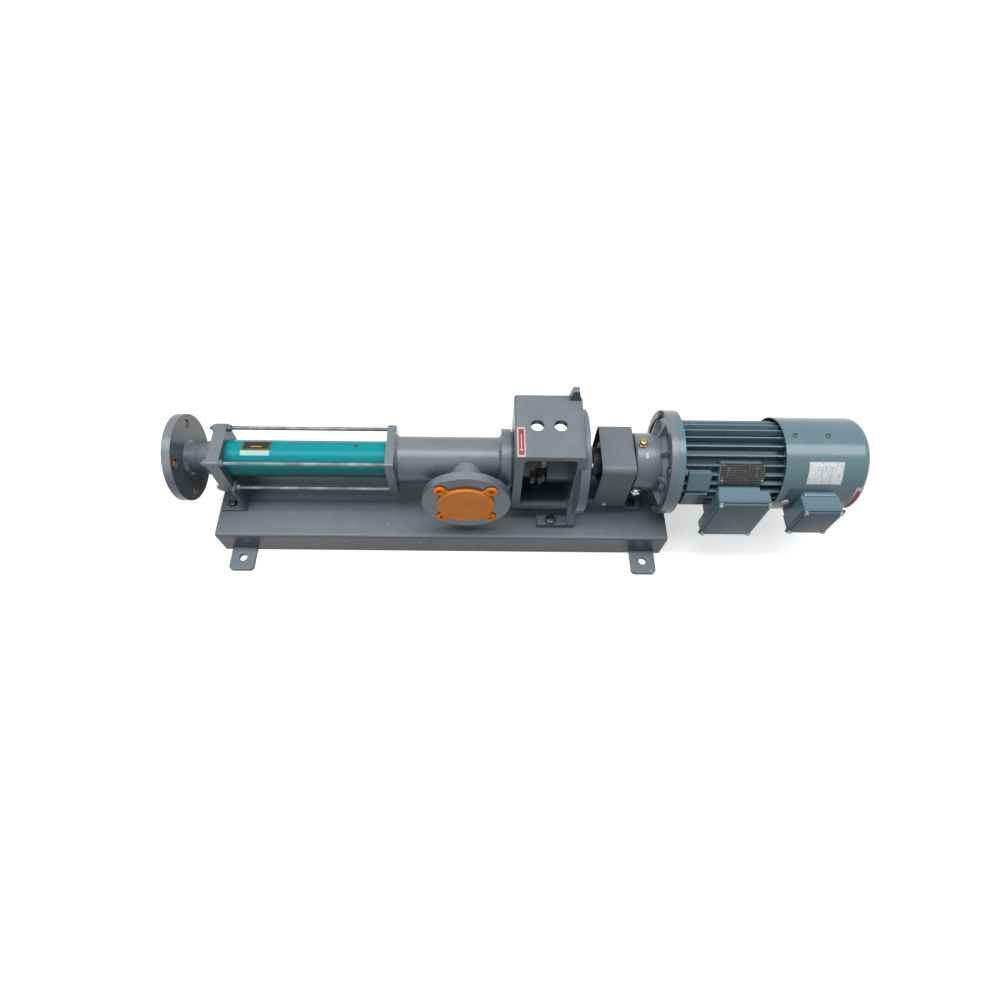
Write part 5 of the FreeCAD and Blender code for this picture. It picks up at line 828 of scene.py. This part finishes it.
def addSaddle():
    left, right = saddle["x"]
    back, front = saddle["y"]
    low, high = saddle["z"]
    pad = plate((right - left) * mm, (high - low) * mm, (back - front) * mm, saddle["edge"] * mm,
                saddle["corner"] * mm)
    bm = bmesh.new()
    add(bm, pad, stand(Vector(((left + right) / 2, back, (low + high) / 2)) * mm, (0, -1, 0)))
    for step in range(1, saddle["levels"]):
        cut(bm, (0, 0, (low + (high - low) * step / saddle["levels"]) * mm), (0, 0, 1))
    for v in bm.verts:
        seat = math.sqrt((saddle["seat"] * mm) ** 2 - (v.co.z - axisZ) ** 2)
        v.co.y = min(v.co.y, -seat)
    finished("fanSaddle", bm, "motor", smooth=24)


# Small screws of the cowl, the lids and the stator tube, in mm; heads are (radius, height)
screws = {
    "cowlSeat": 98, "cowlHead": (5.0, 3.0), "cowlThread": (2.5, 13),
    "plug": [(0, 0), (8.4, 0), (8.4, 0.8), (7.6, 1.8), (5.4, 2.6), (0, 3)],
    "plugFacing": -0.9,  # a plug covers the screws that look this far to the front
    "lidHead": (4.4, 3.0), "lidInset": 7.5, "bossRadii": (6.4, 5.6), "bossDrop": 1.2,
    "grubHead": (4.2, 2.2), "grubPlace": (-178.6, 38.6, -10),
}


def panHead(radius, height):
    dome = [(0, 0), (radius, 0), (radius, height * 0.35), (radius * 0.93, height * 0.65),
            (radius * 0.7, height * 0.92), (radius * 0.42, height), (radius * 0.36, height * 0.55),
            (0, height * 0.5)]
    return turnedMm(dome, 28)


def addCowlScrews():
    radius, length = (value * mm for value in screws["cowlThread"])
    bm, plugs = bmesh.new(), bmesh.new()
    for low, high in solidsOf("cowl_screws"):
        middle = (low + high) / 2 - Vector((0, 0, axisZ))
        way = Vector((0, middle.y, middle.z)).normalized()
        seat = Vector((middle.x, 0, axisZ)) + way * screws["cowlSeat"] * mm
        if way.y < screws["plugFacing"]:
            add(plugs, turnedMm(screws["plug"], 36), stand(seat, way, (1, 0, 0)))
        else:
            add(bm, panHead(*screws["cowlHead"]), stand(seat, way, (1, 0, 0)))
        add(bm, thread(radius, length), stand(seat - way * length, way, (1, 0, 0)))
    finished("cowlScrews", bm, "darkBolt", replaced=["cowl_screws"])
    finished("cowlPlug", plugs, "palePlug")


def addLidScrews():
    inset = screws["lidInset"] * mm
    foot, top = (radius * mm for radius in screws["bossRadii"])
    bm, bosses = bmesh.new(), bmesh.new()
    for node in ("terminal_box_lid", "fan_box_lid"):
        low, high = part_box(node)
        rim = high.y - lid["flange"]
        bossTop = low.y + screws["bossDrop"] * mm
        for x in (low.x + inset, high.x - inset):
            for z in (low.z + inset, high.z - inset):
                boss = turned([(0, 0), (foot, 0), (top, rim - bossTop), (0, rim - bossTop)], 32)
                add(bosses, boss, stand((x, rim, z), (0, -1, 0), (1, 0, 0)))
                add(bm, panHead(*screws["lidHead"]), stand((x, bossTop, z), (0, -1, 0), (1, 0, 0)))
    finished("lidScrews", bm, "zinc")
    finished("lidBosses", bosses, "motor")


def addStatorScrew():
    x, radius, angle = screws["grubPlace"]
    bm = bmesh.new()
    seat = roundAxis(x * mm, radius * mm, angle)
    add(bm, panHead(*screws["grubHead"]), stand(seat, outward(angle), (1, 0, 0)))
    finished("statorScrew", bm, "darkBolt")


# Foils bent round the axis, all without words. Piece name: radius, material and, for each strip, its
# two x and its two angles, in mm and degrees
foils = {
    "cowlForm": (98.3, "whiteForm", [(746, 816, 33, 60)]),
    "cowlStripWhite": (98.3, "labelWhite", [(852, 867, 64, 106)]),
    "cowlStripRed": (98.6, "labelRed", [(856, 863.5, 69, 101)]),
    "reducerTag": (62.3, "labelWhite", [(426, 432, 16, 29)]),
    "statorPlate": (39.3, "blackPlate", [(-418, -358, -30, 10)]),
    "statorGold": (39.6, "gold", [
        (-416, -360, 6, 7), (-416, -360, -27, -26), (-416, -415.2, -27, 7), (-360.8, -360, -27, 7),
        (-400, -376, -5, -1)]),
    "statorStrip": (39.3, "paleStrip", [(-420, -359, 10.5, 27)]),
}
foilThickness = 0.2 * mm


def wrapped(low, high, radius, start, end):
    bm = bmesh.new()
    ends = [bm.verts.new(roundAxis(x * mm, radius * mm, start)) for x in (low, high)]
    edge = bm.edges.new(ends)
    bmesh.ops.spin(bm, geom=ends + [edge], cent=(0, 0, axisZ), axis=(1, 0, 0),
                   angle=math.radians(end - start), steps=max(3, int(abs(end - start) / 3)))
    bmesh.ops.recalc_face_normals(bm, faces=bm.faces)
    bmesh.ops.solidify(bm, geom=bm.faces[:], thickness=foilThickness)
    closeUp(bm)
    return bm


def addFoils():
    for name, (radius, material, strips) in foils.items():
        bm = bmesh.new()
        for low, high, start, end in strips:
            add(bm, wrapped(low, high, radius, start, end), Matrix())
        finished(name, bm, material)


# The motor's plate, in mm, with its rivets across and along it
namePlate = {
    "x": (571, 661), "radius": 91.1, "angle": 48, "height": 40, "thick": 0.8, "edge": 0.3, "corner": 2,
    "across": 16, "along": 41, "rivet": (1.9, 1.2),
}


def addNamePlate():
    low, high = namePlate["x"]
    angle, thick = namePlate["angle"], namePlate["thick"] * mm
    middle = roundAxis((low + high) / 2 * mm, namePlate["radius"] * mm, angle)
    turn = stand(middle, outward(angle), (1, 0, 0))
    sheet = plate(namePlate["height"] * mm, (high - low) * mm, thick, namePlate["edge"] * mm,
                  namePlate["corner"] * mm)
    bm = bmesh.new()
    add(bm, sheet, turn)
    finished("namePlate", bm, "formPlate")
    bm = bmesh.new()
    for across in (-namePlate["across"], namePlate["across"]):
        for along in (-namePlate["along"], namePlate["along"]):
            place = turn @ Vector((across * mm, along * mm, thick))
            add(bm, panHead(*namePlate["rivet"]), stand(place, outward(angle)))
    finished("plateRivets", bm, "zinc")


# The label on the bracket's roof, in mm: white paper with a plain arrow, and a red field within it
roofLabel = {
    "place": (164, -41, 310), "paper": (16, 72), "field": (11, 63), "thick": 0.25, "edge": 0.08,
    "corner": 1, "shaft": (1.6, 34, 0.2, 0.05), "shaftShift": (0, 2, 0.5),
    "tip": 4, "tipHeight": 0.2, "tipShift": (0, -19, 0.6),
}


def addRoofLabel():
    middle = Vector(roofLabel["place"]) * mm
    thick, edge = roofLabel["thick"] * mm, roofLabel["edge"] * mm
    width, length = (value * mm for value in roofLabel["paper"])
    paper = bmesh.new()
    add(paper, plate(width, length, thick, edge, roofLabel["corner"] * mm), Matrix.Translation(middle))
    shaft = plate(*(value * mm for value in roofLabel["shaft"]))
    add(paper, shaft, Matrix.Translation(middle + Vector(roofLabel["shaftShift"]) * mm))
    radius = roofLabel["tip"] * mm
    tip = bmesh.new()
    bmesh.ops.create_cone(tip, cap_ends=True, segments=3, radius1=radius, radius2=radius,
                          depth=roofLabel["tipHeight"] * mm)
    place = Matrix.Translation(middle + Vector(roofLabel["tipShift"]) * mm)
    add(paper, tip, place @ Matrix.Rotation(math.pi, 4, "Z"))
    finished("roofLabel", paper, "labelWhite")
    width, length = (value * mm for value in roofLabel["field"])
    bm = bmesh.new()
    add(bm, plate(width, length, thick, edge), Matrix.Translation(middle + Vector((0, 0, thick))))
    finished("roofField", bm, "labelRed")


bpy.context.scene.view_settings.view_transform = "Standard"
addCamera()
addWorld()
addLamps()
addFloor()
dressNodes()
print("stage and finishes done")
addFasteners()
addRodThreads()
print("fasteners done")
addCaps()
addFittings()
addLids()
addSaddle()
addCowlScrews()
addLidScrews()
addStatorScrew()
print("caps and fittings done")
addFoils()
addNamePlate()
addRoofLabel()
print("labels done")
